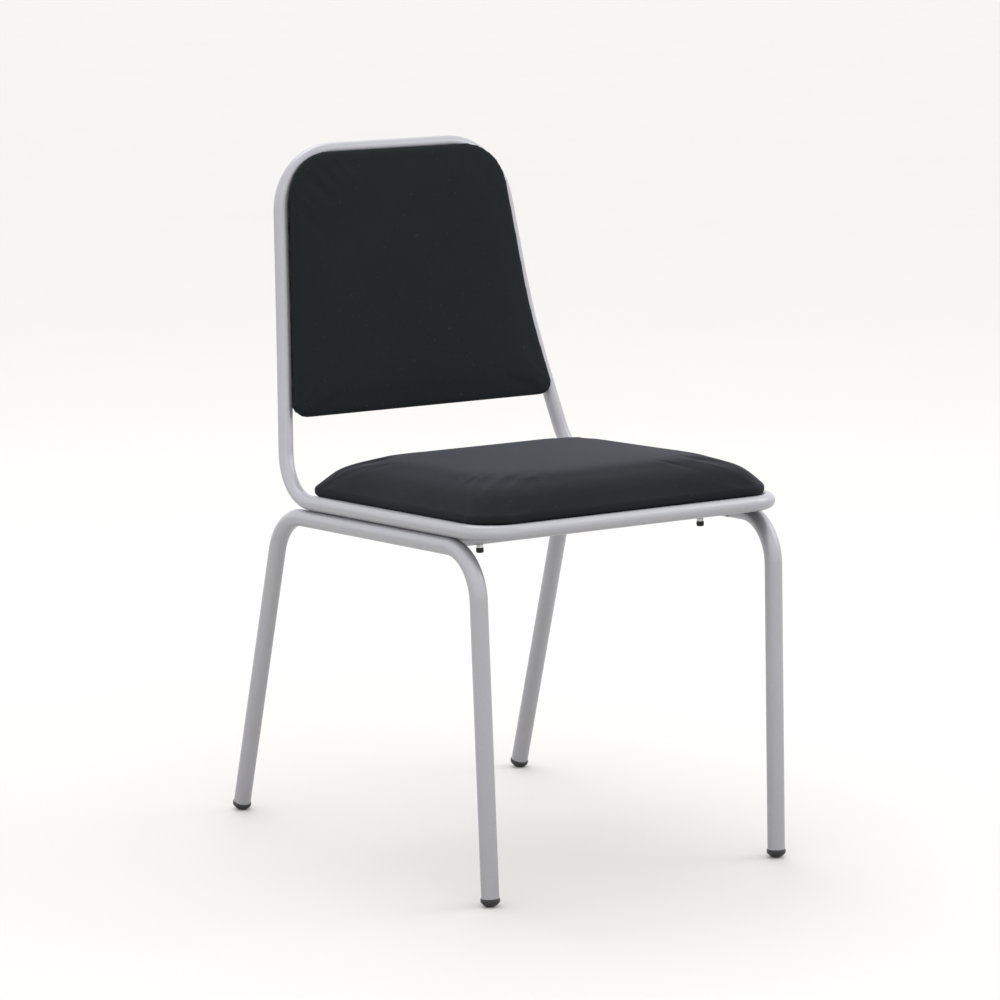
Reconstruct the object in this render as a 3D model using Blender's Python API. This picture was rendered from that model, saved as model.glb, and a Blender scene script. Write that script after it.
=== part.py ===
"""Padded stacking chair: a bent-tube frame with an upholstered seat and back.

The frame is one endless tube, bent into the back hoop, the seat rails and the front bar,
welded onto two inverted-U leg frames. Two crossbars between the leg frames carry the seat.

Frame of reference: metres, +Z up, the sitter looks along -Y, the origin is on the floor
under the middle of the chair. Every dimension below is in millimetres and goes through MM.
"""
from math import atan2, cos, pi, radians, sin, sqrt, tan

import bmesh
import bpy
from mathutils import Matrix, Vector

MM = 0.001
TOUCH = 0.3                     # clearance between pieces that touch

# Tubes
LOOP_RADIUS = 9.5               # 19 mm tube of the back, the seat rails and the front bar
LEG_RADIUS = 11.0               # 22 mm tube of the leg frames
CROSSBAR_RADIUS = 8.0
TUBE_WALL = 1.2
TUBE_SIDES = 12

# Seat and back loop: where the straight runs of its centre line would meet
HALF_WIDTH = 219.5
FRONT_Y, FRONT_Z = -292.0, 452.6
REAR_Y, REAR_Z = 167.8, 430.5
LUMBAR_HALF, LUMBAR_Y, LUMBAR_Z = 186.7, 227.3, 629.0
TOP_HALF, TOP_Y, TOP_Z = 164.4, 272.0, 859.0
FRONT_BEND, REAR_BEND, LUMBAR_BEND, TOP_BEND = 46.0, 77.0, 1000.0, 84.0

# Leg frames, under the seat rails
LEG_FRONT_Y, LEG_REAR_Y = -272.2, 180.5
LEG_FRONT_BEND, LEG_REAR_BEND = 61.0, 71.0
FOOT_FRONT_HALF, FOOT_FRONT_Y = 214.3, -294.3
FOOT_REAR_HALF, FOOT_REAR_Y = 218.1, 293.9

# Foot glides
GLIDE_DOME, GLIDE_RADIUS, GLIDE_FLANGE_TOP = 14.0, 12.0, 3.2
GLIDE_PLUG_LENGTH = 20.0
GLIDE_FLAT_ANGLE = radians(16)    # how much of the dome the flat under it takes away
GLIDE_SIDES = 14

# Weld beads between the seat rails and the leg frames
RAIL_WELD_ALONG = (-165.0, 75.0)
RAIL_WELD_RADIUS, RAIL_WELD_HALF, RAIL_WELD_INSET = 2.2, 16.0, 8.0

# Seat: heights are measured square to the seat rails' centre lines, along-values along them
RAIL_TILT = atan2(FRONT_Z - REAR_Z, REAR_Y - FRONT_Y)
CROSSBAR_DROP = 18.4
CROSSBAR_ALONG = (-194.0, 50.0)
BOLT_HALF = 164.5
SEAT_HALF, SEAT_FRONT, SEAT_REAR = 208.6, -280.0, 112.0
SEAT_FRONT_CORNER, SEAT_REAR_CORNER = 36.0, 12.0
SEAT_PAD = (9.0, 12.2, 1.5, 35.8, 8.0)    # read by dome_rings
BOARD_THICKNESS = 12.0
COVER_THICKNESS = 1.2
DUST_COVER_THICKNESS = 0.6
COVER_TURN_IN = 18.0

# Back pad: along-values run up the hoop's side view from the rear bend, depth is forwards
BACK_BOTTOM, BACK_TOP = 106.5, 440.5
BACK_SIDE_GAP, BACK_TOP_GAP = 3.2, 0.9    # between the board and the tube
BACK_PAD = (8.0, 12.5, 11.0, 6.0, 2.0)    # read by dome_rings
BACK_BOARD_THICKNESS, BACK_BOARD_DEPTH = 9.0, -5.0
BACK_PANEL_THICKNESS, BACK_PANEL_INSET = 1.5, 5.0
BACK_TOP_CORNER, BACK_BOTTOM_CORNER = 72.0, 10.0
BACK_CORNER_FILL = 1.5          # how much tighter the swollen edge turns the top corners
BACK_ROWS = (140.0, 165.0, 190.0, 215.0, 240.0, 265.0)
BACK_FIXINGS, BACK_FIXING_INSET = (174.5, 347.0), 34.0
LUG_WIDTH, LUG_THICKNESS = 18.0, 2.0

# Fasteners
BOLT_RADIUS, BOLT_HEAD_RADIUS, BOLT_HEAD = 2.7, 6.0, 2.6
HOLE_RADIUS = 3.2
NUT_ACROSS_FLATS, NUT_HEIGHT = 8.0, 3.2
BUMPER_RADIUS, BUMPER_HEIGHT = 4.7, 6.2
TEE_BARREL, TEE_FLANGE, TEE_THICKNESS = 4.0, 8.0, 1.2

# Colour (linear red, green, blue), roughness and metallic value of each material
STEEL_PAINT = ("silver_paint", (0.42, 0.42, 0.45), 0.38, 0.55)
FABRIC = ("black_fabric", (0.018, 0.020, 0.024), 0.92, 0.0)
FOAM = ("foam", (0.62, 0.56, 0.36), 0.95, 0.0)
PLYWOOD = ("plywood", (0.46, 0.30, 0.16), 0.70, 0.0)
LINING = ("black_lining", (0.012, 0.012, 0.013), 0.95, 0.0)
BLACK_PLASTIC = ("black_plastic", (0.014, 0.014, 0.015), 0.45, 0.0)
RUBBER = ("black_rubber", (0.012, 0.012, 0.012), 0.75, 0.0)
ZINC = ("zinc_steel", (0.60, 0.60, 0.58), 0.35, 1.0)
WELD = ("weld_steel", (0.34, 0.34, 0.36), 0.50, 0.6)


def clear_scene():
    """Empties the scene of whatever it holds."""
    for item in list(bpy.context.scene.objects):
        bpy.data.objects.remove(item, do_unlink=True)


def material(finish):
    """The material of a finish, made on first use."""
    name, colour, roughness, metallic = finish
    made = bpy.data.materials.get(name)
    if made is None:
        made = bpy.data.materials.new(name)
        made.use_nodes = True
        shader = made.node_tree.nodes["Principled BSDF"]
        shader.inputs["Base Color"].default_value = (*colour, 1.0)
        shader.inputs["Roughness"].default_value = roughness
        shader.inputs["Metallic"].default_value = metallic
    return made


def add_object(name, points, faces, finish, smooth=True):
    """An object from points in millimetres and faces that list their point numbers."""
    mesh = bpy.data.meshes.new(name)
    mesh.from_pydata([[value * MM for value in point] for point in points], [], faces)
    work = bmesh.new()
    work.from_mesh(mesh)
    bmesh.ops.remove_doubles(work, verts=work.verts, dist=1e-6)
    bmesh.ops.recalc_face_normals(work, faces=work.faces)
    work.to_mesh(mesh)
    work.free()
    mesh.materials.append(material(finish))
    made = bpy.data.objects.new(name, mesh)
    bpy.context.scene.collection.objects.link(made)
    if smooth:
        mesh.shade_smooth()
        mesh.set_sharp_from_angle(angle=radians(35))
    return made


def add_empty(name, location, rotation=(0.0, 0.0, 0.0)):
    """An empty that carries the pieces of one sub-assembly; its location is in millimetres."""
    empty = bpy.data.objects.new(name, None)
    empty.location = [value * MM for value in location]
    empty.rotation_euler = rotation
    bpy.context.scene.collection.objects.link(empty)
    return empty


def skin(rings, closed=False):
    """Faces between rings of equal point count; closed joins the last ring to the first."""
    count = len(rings[0])
    points = [point for ring in rings for point in ring]
    faces = []
    for row in range(len(rings) if closed else len(rings) - 1):
        upper = (row + 1) % len(rings)
        for k in range(count):
            after = (k + 1) % count
            faces.append((row * count + k, row * count + after, upper * count + after, upper * count + k))
    return points, faces


def rounded_path(corners, bends, steps):
    """Points along straight runs between corners, each corner rounded by its bend radius."""
    corners = [Vector(corner) for corner in corners]
    points = [corners[0]]
    for before, corner, after, bend in zip(corners, corners[1:], corners[2:], bends):
        to_before = (before - corner).normalized()
        to_after = (after - corner).normalized()
        half_angle = to_before.angle(to_after) / 2
        centre = corner + (to_before + to_after).normalized() * (bend / sin(half_angle))
        start = corner + to_before * (bend / tan(half_angle)) - centre
        end = corner + to_after * (bend / tan(half_angle)) - centre
        turn = pi - 2 * half_angle
        count = max(2, round(steps * turn / (pi / 2)))
        for k in range(count + 1):
            angle = turn * k / count
            points.append(centre + (start * sin(turn - angle) + end * sin(angle)) / sin(turn))
    points.append(corners[-1])
    return points


def tube_rings(path, radius, sides):
    """Rings of points square to the path, carried along it without twisting."""
    tangents = [(after - before).normalized() for before, after in
                zip([path[0]] + path[:-1], path[1:] + [path[-1]])]
    side = tangents[0].orthogonal().normalized()
    rings = []
    previous = tangents[0]
    for centre, tangent in zip(path, tangents):
        side = previous.rotation_difference(tangent) @ side
        side = (side - tangent * side.dot(tangent)).normalized()
        other = tangent.cross(side)
        rings.append([centre + (side * cos(2 * pi * k / sides) + other * sin(2 * pi * k / sides)) * radius
                      for k in range(sides)])
        previous = tangent
    return rings


def bent_tube(name, path, radius, finish):
    """A hollow tube along a path, open at both ends."""
    outer = tube_rings(path, radius, TUBE_SIDES)
    inner = tube_rings(path, radius - TUBE_WALL, TUBE_SIDES)
    return add_object(name, *skin(outer + inner[::-1], closed=True), finish)


def turned(name, profile, finish, sides=16, hollow=False):
    """A piece turned about its own Z axis from (radius, height) pairs, closed on the axis
    unless it is hollow, where the profile is a closed loop round the wall."""
    rings = [[(r * cos(2 * pi * k / sides), r * sin(2 * pi * k / sides), z) for k in range(sides)]
             for r, z in profile if r > 0]
    points, faces = skin(rings, closed=hollow)
    if not hollow:
        faces += [tuple(range(sides)), tuple(range(len(points) - sides, len(points)))]
    return add_object(name, points, faces, finish)


def aim(piece, location, direction):
    """Stands a turned piece at a place in millimetres, its Z axis along a direction."""
    piece.location = [value * MM for value in location]
    piece.rotation_mode = "QUATERNION"
    piece.rotation_quaternion = Vector((0, 0, 1)).rotation_difference(Vector(direction))
    return piece


def rounded_outline(widths, alongs, corner_radii, inset=0.0, steps=5):
    """A mirrored outline with rounded corners.

    widths and alongs hold the first and last half-width and along-value, corner_radii the
    corner radius at each end; inset moves the whole outline inwards.
    """
    (first_half, last_half), (first, last) = widths, alongs
    first_half, last_half, first, last = first_half - inset, last_half - inset, first + inset, last - inset
    radii = [max(radius - inset, 3.0) for radius in corner_radii]
    corners = [(-first_half, first, 0), (-last_half, last, 0), (last_half, last, 0), (first_half, first, 0)]
    path = rounded_path([(0, first, 0)] + corners + [(0, first, 0)],
                        (radii[0], radii[1], radii[1], radii[0]), steps)
    return [(point.x, point.y) for point in path[1:-1]]


def stacked(outlines_and_heights):
    """Rings from (outline, height) pairs."""
    return [[(x, y, height) for x, y in outline] for outline, height in outlines_and_heights]


def scaled_outline(outline, factor, centre):
    """An outline drawn in towards a centre on the middle line."""
    return [(x * factor, centre + (y - centre) * factor) for x, y in outline]


def ladder(count, first=0):
    """Faces across a mirrored outline: rungs join each point to its mirror image."""
    return [(first + k, first + k + 1, first + count - k - 2, first + count - k - 1)
            for k in range(count // 2 - 1)]


def capped(rings, laddered=True):
    """Points and faces of a closed solid from rings: laddered ends for mirrored rings that
    are bent later, single flat ends for the others."""
    points, faces = skin(rings)
    count = len(rings[0])
    top = len(points) - count
    if laddered:
        return points, faces + ladder(count) + ladder(count, top)
    return points, faces + [tuple(range(count)), tuple(range(top, top + count))]


def add_cutter(piece, cutter):
    """Cuts a hidden cutter out of a piece."""
    cutter.hide_render = True
    cutter.display_type = "WIRE"
    cut = piece.modifiers.new(cutter.name, "BOOLEAN")
    cut.operation = "DIFFERENCE"
    cut.solver = "EXACT"
    cut.object = cutter


# ---------------------------------------------------------------- frame

def loop_corners():
    """The corners of the endless tube, from the middle of the front bar round to it again."""
    side = [Vector((-HALF_WIDTH, FRONT_Y, FRONT_Z)), Vector((-HALF_WIDTH, REAR_Y, REAR_Z)),
            Vector((-LUMBAR_HALF, LUMBAR_Y, LUMBAR_Z)), Vector((-TOP_HALF, TOP_Y, TOP_Z))]
    other = [Vector((-corner.x, corner.y, corner.z)) for corner in reversed(side)]
    return side + other


def build_loop():
    """The endless tube and the sleeve inside its butt joint."""
    butt = Vector((0.5 * TOUCH, FRONT_Y, FRONT_Z))
    corners = [Vector((-butt.x, butt.y, butt.z))] + loop_corners() + [butt]
    bends = [FRONT_BEND, REAR_BEND, LUMBAR_BEND, TOP_BEND]
    path = rounded_path(corners, bends + bends[::-1], steps=6)
    bent_tube("seat_back_loop", path, LOOP_RADIUS, STEEL_PAINT)
    radius, half = LOOP_RADIUS - TUBE_WALL - TOUCH, 30.0
    sleeve = turned("loop_joint_sleeve",
                    [(radius, -half), (radius, half), (radius - 1.5, half), (radius - 1.5, -half)],
                    ZINC, sides=12, hollow=True)
    aim(sleeve, (0, FRONT_Y, FRONT_Z), (1, 0, 0))


def on_rail(along, drop, half=HALF_WIDTH):
    """A point under the seat rail: along and drop follow the rail's tilt, half is its X."""
    seat_origin_z = FRONT_Z + FRONT_Y * tan(RAIL_TILT)
    return Vector((half, along * cos(RAIL_TILT) - drop * sin(RAIL_TILT),
                   seat_origin_z - along * sin(RAIL_TILT) - drop * cos(RAIL_TILT)))


def leg_corners(side):
    """The corners of one leg frame's centre line; side is -1 or 1."""
    drop = LOOP_RADIUS + LEG_RADIUS + TOUCH
    front, rear = on_rail(LEG_FRONT_Y, drop), on_rail(LEG_REAR_Y, drop)
    corners = [Vector((FOOT_FRONT_HALF, FOOT_FRONT_Y, 0)), front, rear,
               Vector((FOOT_REAR_HALF, FOOT_REAR_Y, 0))]
    return [Vector((side * corner.x, corner.y, corner.z)) for corner in corners]


def glide_height():
    """The height of the dome's centre over the floor, on which its flat stands."""
    return GLIDE_DOME * cos(GLIDE_FLAT_ANGLE)


def build_glide(name, foot, upwards):
    """A moulded glide: a domed foot with a small level flat, and a ribbed plug up the leg."""
    centre = foot + upwards * (glide_height() / upwards.z)

    def ring(axis, radius, height):
        side = (Vector((1, 0, 0)) - axis * axis.x).normalized()
        other = axis.cross(side)
        return [centre + axis * height + (side * cos(turn) + other * sin(turn)) * radius
                for turn in (2 * pi * k / GLIDE_SIDES for k in range(GLIDE_SIDES))]

    floor_axis = Vector((0, 0, 1))
    halfway = (floor_axis + upwards).normalized()
    rings = [ring(axis, GLIDE_DOME * sin(angle), -GLIDE_DOME * cos(angle))
             for axis, angle in ((floor_axis, GLIDE_FLAT_ANGLE), (halfway, radians(38)))]
    widest = sqrt(GLIDE_DOME ** 2 - GLIDE_RADIUS ** 2)
    plug = LEG_RADIUS - TUBE_WALL - TOUCH
    profile = [(GLIDE_RADIUS, -widest), (GLIDE_RADIUS, -GLIDE_FLANGE_TOP - 1.0),
               (GLIDE_RADIUS - 1.0, -GLIDE_FLANGE_TOP), (plug - 0.8, -GLIDE_FLANGE_TOP)]
    for rib in range(2):
        base = -GLIDE_FLANGE_TOP + 4.0 + rib * GLIDE_PLUG_LENGTH / 2
        profile += [(plug, base), (plug - 0.8, base + 3.0)]
    profile.append((plug - 1.6, GLIDE_PLUG_LENGTH - GLIDE_FLANGE_TOP))
    rings += [ring(upwards, radius, height) for radius, height in profile]
    add_object(name, *capped(rings, laddered=False), BLACK_PLASTIC)


def build_leg_frames():
    """Both leg frames, their glides and the welds that hold them under the seat rails."""
    for side, side_name in ((-1, "right"), (1, "left")):
        corners = leg_corners(side)
        ends = []
        for foot, knee in ((corners[0], corners[1]), (corners[3], corners[2])):
            upwards = (knee - foot).normalized()
            ends.append(foot + upwards * (glide_height() / upwards.z - GLIDE_FLANGE_TOP + TOUCH))
        path = rounded_path([ends[0], corners[1], corners[2], ends[1]],
                            [LEG_FRONT_BEND, LEG_REAR_BEND], steps=6)
        bent_tube("leg_frame_" + side_name, path, LEG_RADIUS, STEEL_PAINT)
        build_glide("front_glide_" + side_name, corners[0], (corners[1] - corners[0]).normalized())
        build_glide("rear_glide_" + side_name, corners[3], (corners[2] - corners[3]).normalized())
        for along, end in zip(RAIL_WELD_ALONG, ("front", "rear")):
            build_rail_weld(f"rail_weld_{end}_{side_name}", side, along)


def build_rail_weld(name, side, along):
    """A weld bead in the groove between a seat rail and its leg frame, on the inner side."""
    radius, half = RAIL_WELD_RADIUS, RAIL_WELD_HALF
    profile = [(radius * 0.55, -half), (radius, -half + 2), (radius, half - 2), (radius * 0.55, half)]
    bead = turned(name, profile, WELD, sides=8)
    start, end = on_rail(along - 1, LOOP_RADIUS), on_rail(along + 1, LOOP_RADIUS)
    place = (start + end) / 2
    aim(bead, (side * (HALF_WIDTH - RAIL_WELD_INSET), place.y, place.z), end - start)


# ---------------------------------------------------------------- seat

def build_crossbars(seat):
    """Two crossbars with their weld beads, drilled for the seat bolts."""
    half = HALF_WIDTH - LEG_RADIUS - TOUCH
    for along, end in zip(CROSSBAR_ALONG, ("front", "rear")):
        path = [Vector((-half, along, -CROSSBAR_DROP)), Vector((half, along, -CROSSBAR_DROP))]
        bar = bent_tube("crossbar_" + end, path, CROSSBAR_RADIUS, STEEL_PAINT)
        bar.parent = seat
        for side, side_name in ((-1, "right"), (1, "left")):
            drill = turned(f"drill_{end}_{side_name}", [(HOLE_RADIUS, -12), (HOLE_RADIUS, 12)], ZINC)
            drill.parent = seat
            drill.location = [value * MM for value in (side * BOLT_HALF, along, -CROSSBAR_DROP)]
            add_cutter(bar, drill)
            weld = build_crossbar_weld(f"crossbar_weld_{end}_{side_name}", side * (half - 1.7), along)
            weld.parent = seat


def build_crossbar_weld(name, x, along):
    """A weld bead round the underside of a crossbar, where it meets the leg frame."""
    bead = 1.2
    reach = CROSSBAR_RADIUS + TOUCH + bead
    path = [Vector((x, along + reach * cos(radians(angle)), -CROSSBAR_DROP + reach * sin(radians(angle))))
            for angle in range(200, 341, 20)]
    return add_object(name, *capped(tube_rings(path, bead, 6), laddered=False), WELD)


def seat_outline(inset=0.0):
    """The seat's plan outline inside the loop."""
    return rounded_outline((SEAT_HALF, SEAT_HALF - 2), (SEAT_FRONT, SEAT_REAR),
                           (SEAT_FRONT_CORNER, SEAT_REAR_CORNER), inset)


def seat_levels():
    """Heights of the layers under the foam: dust cover, cover flange, board."""
    dust = -CROSSBAR_DROP + CROSSBAR_RADIUS + TOUCH
    flange = dust + DUST_COVER_THICKNESS + TOUCH
    board = flange + COVER_THICKNESS + TOUCH
    return dust, flange, board


def dome_rings(pad, inset, base, outline, centre):
    """Rings from an upright side, over a swollen rounded edge, to a crowned top.

    pad holds how far the edge swells out over the tube, its height and its inward roll, then
    the crown's rise and power; inset draws the whole skin in by that much.
    """
    swell, edge, roll, crown, power = pad
    edge -= inset
    clear = LOOP_RADIUS + 2 * TOUCH       # the height where the foam may swell out over the tube
    rings = [(outline(inset), base), (outline(inset), 0.45 * clear),
             (outline(inset - 0.15 * swell), 0.8 * clear)]
    middle = clear + 2.0 + 0.42 * edge
    for angle in (-20, 15, 50, 85):
        rise = 0.58 * edge if angle > 0 else 0.42 * edge
        turned_in = roll * (1 - cos(radians(angle)))
        rings.append((outline(inset - swell + turned_in), middle + rise * sin(radians(angle))))
    rim, top = rings[-1]
    for factor in (0.97, 0.92, 0.84, 0.7, 0.45):
        rings.append((scaled_outline(rim, factor, centre), top + crown * (1 - factor ** power)))
    return stacked(rings)


def build_seat():
    """The upholstered seat, its crossbars and its fixings."""
    origin = on_rail(0, 0, 0)
    seat = add_empty("seat_assembly", origin, (-RAIL_TILT, 0, 0))
    build_crossbars(seat)
    dust, flange, board = seat_levels()
    board_top = board + BOARD_THICKNESS
    centre = 0.5 * (SEAT_FRONT + SEAT_REAR)
    inner = COVER_THICKNESS + 2 * TOUCH

    panel = add_object("seat_dust_cover", *capped(stacked([
        (seat_outline(8.0), dust), (seat_outline(8.0), dust + DUST_COVER_THICKNESS)])), LINING)
    plate = add_object("seat_board", *capped(stacked([
        (seat_outline(inner), board), (seat_outline(inner), board_top)])), PLYWOOD)
    foam = add_object("seat_foam", *capped(dome_rings(
        SEAT_PAD, inner, board_top + TOUCH, seat_outline, centre)), FOAM)

    outer_rings = dome_rings(SEAT_PAD, 0.0, flange, seat_outline, centre)
    inner_rings = dome_rings(SEAT_PAD, COVER_THICKNESS, flange + COVER_THICKNESS, seat_outline, centre)
    cover = add_object("seat_cover", *cover_shell(
        outer_rings, inner_rings,
        stacked([(seat_outline(COVER_TURN_IN), flange + COVER_THICKNESS),
                 (seat_outline(COVER_TURN_IN), flange)])), FABRIC)
    for piece in (panel, plate, foam, cover):
        piece.parent = seat

    for along, end in zip(CROSSBAR_ALONG, ("front", "rear")):
        for side, side_name in ((-1, "right"), (1, "left")):
            where = f"{end}_{side_name}"
            place = (side * BOLT_HALF, along)
            build_seat_bolt(seat, where, place, board_top)
            shaft = turned("bolt_hole_" + where,
                           [(HOLE_RADIUS, dust - 5), (HOLE_RADIUS, board_top - BOLT_HEAD - 2 * TOUCH),
                            (BOLT_HEAD_RADIUS + 0.6, board_top - BOLT_HEAD - 2 * TOUCH),
                            (BOLT_HEAD_RADIUS + 0.6, board_top + 5)], ZINC)
            shaft.parent = seat
            shaft.location = (place[0] * MM, place[1] * MM, 0)
            add_cutter(plate, shaft)
            add_cutter(panel, shaft)


def cover_shell(outer_rings, inner_rings, lip_rings):
    """A cap of even thickness from its outer and inner skins and its turned-in lip."""
    points, faces = skin(lip_rings[::-1][:1] + outer_rings)
    count = len(outer_rings[0])
    faces += ladder(count, len(points) - count)
    base = len(points)
    more, more_faces = skin(inner_rings[::-1] + lip_rings[:1])
    points = points + more
    faces += [tuple(base + k for k in face) for face in more_faces]
    faces += ladder(count, base)
    # the strip between the lip's two edges closes the shell
    last = len(points) - count
    for k in range(count):
        after = (k + 1) % count
        faces.append((last + k, last + after, after, k))
    return points, faces


def build_seat_bolt(seat, where, place, board_top):
    """A bolt down through board and crossbar, its nut, and the rubber bumper on its end."""
    under_bar = -CROSSBAR_DROP - CROSSBAR_RADIUS - TOUCH
    nut_bottom = under_bar - NUT_HEIGHT
    head_top = board_top - TOUCH
    bumper_top = nut_bottom - TOUCH
    bolt_end = bumper_top - 0.6 * BUMPER_HEIGHT
    bolt = turned("seat_bolt_" + where,
                  [(BOLT_RADIUS - 0.4, bolt_end), (BOLT_RADIUS, bolt_end + 0.8),
                   (BOLT_RADIUS, head_top - BOLT_HEAD), (BOLT_HEAD_RADIUS, head_top - BOLT_HEAD),
                   (BOLT_HEAD_RADIUS, head_top - 1.0), (BOLT_HEAD_RADIUS - 1.5, head_top)], ZINC, sides=12)
    bore = BOLT_RADIUS + TOUCH
    corner = NUT_ACROSS_FLATS / 2 / cos(pi / 6)
    hexagon = [(corner * cos(pi * k / 3), corner * sin(pi * k / 3)) for k in range(6)]
    outer = []
    for k in range(6):
        (x, y), (next_x, next_y) = hexagon[k], hexagon[(k + 1) % 6]
        outer += [(x, y), ((x + next_x) / 2, (y + next_y) / 2)]
    inner = [(bore * cos(pi * k / 6), bore * sin(pi * k / 6)) for k in range(12)]
    nut = add_object("seat_nut_" + where, *skin(stacked(
        [(outer, nut_bottom), (outer, under_bar), (inner, under_bar), (inner, nut_bottom)]), closed=True), ZINC)
    radius, bottom = BUMPER_RADIUS, bumper_top - BUMPER_HEIGHT
    bumper = turned("stacking_bumper_" + where,
                    [(bore, bolt_end - TOUCH), (bore, bumper_top), (radius - 0.6, bumper_top),
                     (radius, bumper_top - 0.8), (radius, bottom + 1.8), (radius - 1.6, bottom)],
                    RUBBER, sides=12)
    for piece in (bolt, nut, bumper):
        piece.parent = seat
        piece.location = (place[0] * MM, place[1] * MM, 0)


# ---------------------------------------------------------------- back

def back_spine():
    """The hoop's side view as a path in the YZ plane, from the rear bend's corner upwards."""
    corners = [(0, REAR_Y, REAR_Z), (0, LUMBAR_Y, LUMBAR_Z), (0, TOP_Y, TOP_Z)]
    return rounded_path(corners, [LUMBAR_BEND], steps=40)


def along_spine(spine, distance):
    """The point and the upward direction at a distance along the spine."""
    for start, end in zip(spine, spine[1:]):
        length = (end - start).length
        if distance <= length or end is spine[-1]:
            direction = (end - start).normalized()
            return start + direction * distance, direction
        distance -= length


def bend_to_hoop(points):
    """Maps (x, along, depth) onto the hoop: along follows its side view, depth is forwards."""
    spine = back_spine()
    placed = []
    for x, along, depth in points:
        base, up = along_spine(spine, along)
        forwards = Vector((0, -up.z, up.y))
        spot = base + forwards * depth
        placed.append((x, spot.y, spot.z))
    return placed


def hoop_half(along):
    """The hoop's half-width at a height along its side view."""
    height = along_spine(back_spine(), along)[0].z
    upright = rounded_path(loop_corners()[1:4], [LUMBAR_BEND], steps=40)
    for lower, upper in zip(upright, upright[1:]):
        if height <= upper.z or upper is upright[-1]:
            share = (height - lower.z) / (upper.z - lower.z)
            return -(lower.x + (upper.x - lower.x) * share)


def back_outline(inset=0.0):
    """The back pad's outline inside the hoop; its sides have a point at every row, so that
    each layer follows the hoop's bend alike."""
    edge = LOOP_RADIUS + BACK_SIDE_GAP + inset
    bottom, top = BACK_BOTTOM + inset, BACK_TOP - LOOP_RADIUS - BACK_TOP_GAP - inset
    top_radius = BACK_TOP_CORNER - (inset if inset > 0 else -inset * BACK_CORNER_FILL)
    radii = [max(BACK_BOTTOM_CORNER - inset, 4.0), top_radius]
    lower = Vector((hoop_half(bottom) - edge, bottom, 0))
    upper = Vector((hoop_half(top) - edge, top, 0))
    first_row = Vector((hoop_half(BACK_ROWS[0]) - edge, BACK_ROWS[0], 0))
    last_row = Vector((hoop_half(BACK_ROWS[-1]) - edge, BACK_ROWS[-1], 0))
    half = rounded_path([Vector((0, bottom, 0)), lower, first_row], [radii[0]], steps=4)[1:]
    half += [Vector((hoop_half(row) - edge, row, 0)) for row in BACK_ROWS[1:-1]]
    half += rounded_path([last_row, upper, Vector((0, top, 0))], [radii[1]], steps=6)[:-1]
    outline = [(-point.x, point.y) for point in half]
    return outline + [(point.x, point.y) for point in reversed(half)]


def bent(piece_shape):
    """Bends a shape's points to the hoop."""
    points, faces = piece_shape
    return bend_to_hoop(points), faces


def build_back():
    """The upholstered back, set into the hoop, and its fixings."""
    depth = BACK_BOARD_DEPTH
    front = depth + BACK_BOARD_THICKNESS
    inner = COVER_THICKNESS + 2 * TOUCH
    centre = 0.5 * (BACK_BOTTOM + BACK_TOP)
    flange = depth - TOUCH - COVER_THICKNESS
    panel_front = flange - TOUCH
    panel_back = panel_front - BACK_PANEL_THICKNESS
    board = add_object("back_board", *bent(capped(stacked([
        (back_outline(inner), depth), (back_outline(inner), front)]))), PLYWOOD)
    panel = add_object("back_rear_panel", *bent(capped(stacked([
        (back_outline(BACK_PANEL_INSET), panel_front),
        (back_outline(BACK_PANEL_INSET + 0.5), panel_back)]))), LINING)
    add_object("back_foam", *bent(capped(dome_rings(
        BACK_PAD, inner, front + TOUCH, back_outline, centre))), FOAM)
    outer_rings = dome_rings(BACK_PAD, 0.0, flange, back_outline, centre)
    inner_rings = dome_rings(BACK_PAD, COVER_THICKNESS, flange + COVER_THICKNESS, back_outline, centre)
    lip = stacked([(back_outline(COVER_TURN_IN), flange + COVER_THICKNESS),
                   (back_outline(COVER_TURN_IN), flange)])
    add_object("back_cover", *bent(cover_shell(outer_rings, inner_rings, lip)), FABRIC)

    for along, end in zip(BACK_FIXINGS, ("lower", "upper")):
        for side, side_name in ((-1, "right"), (1, "left")):
            build_back_fixing(f"{end}_{side_name}", side, along, board, panel, panel_back, front)


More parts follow.
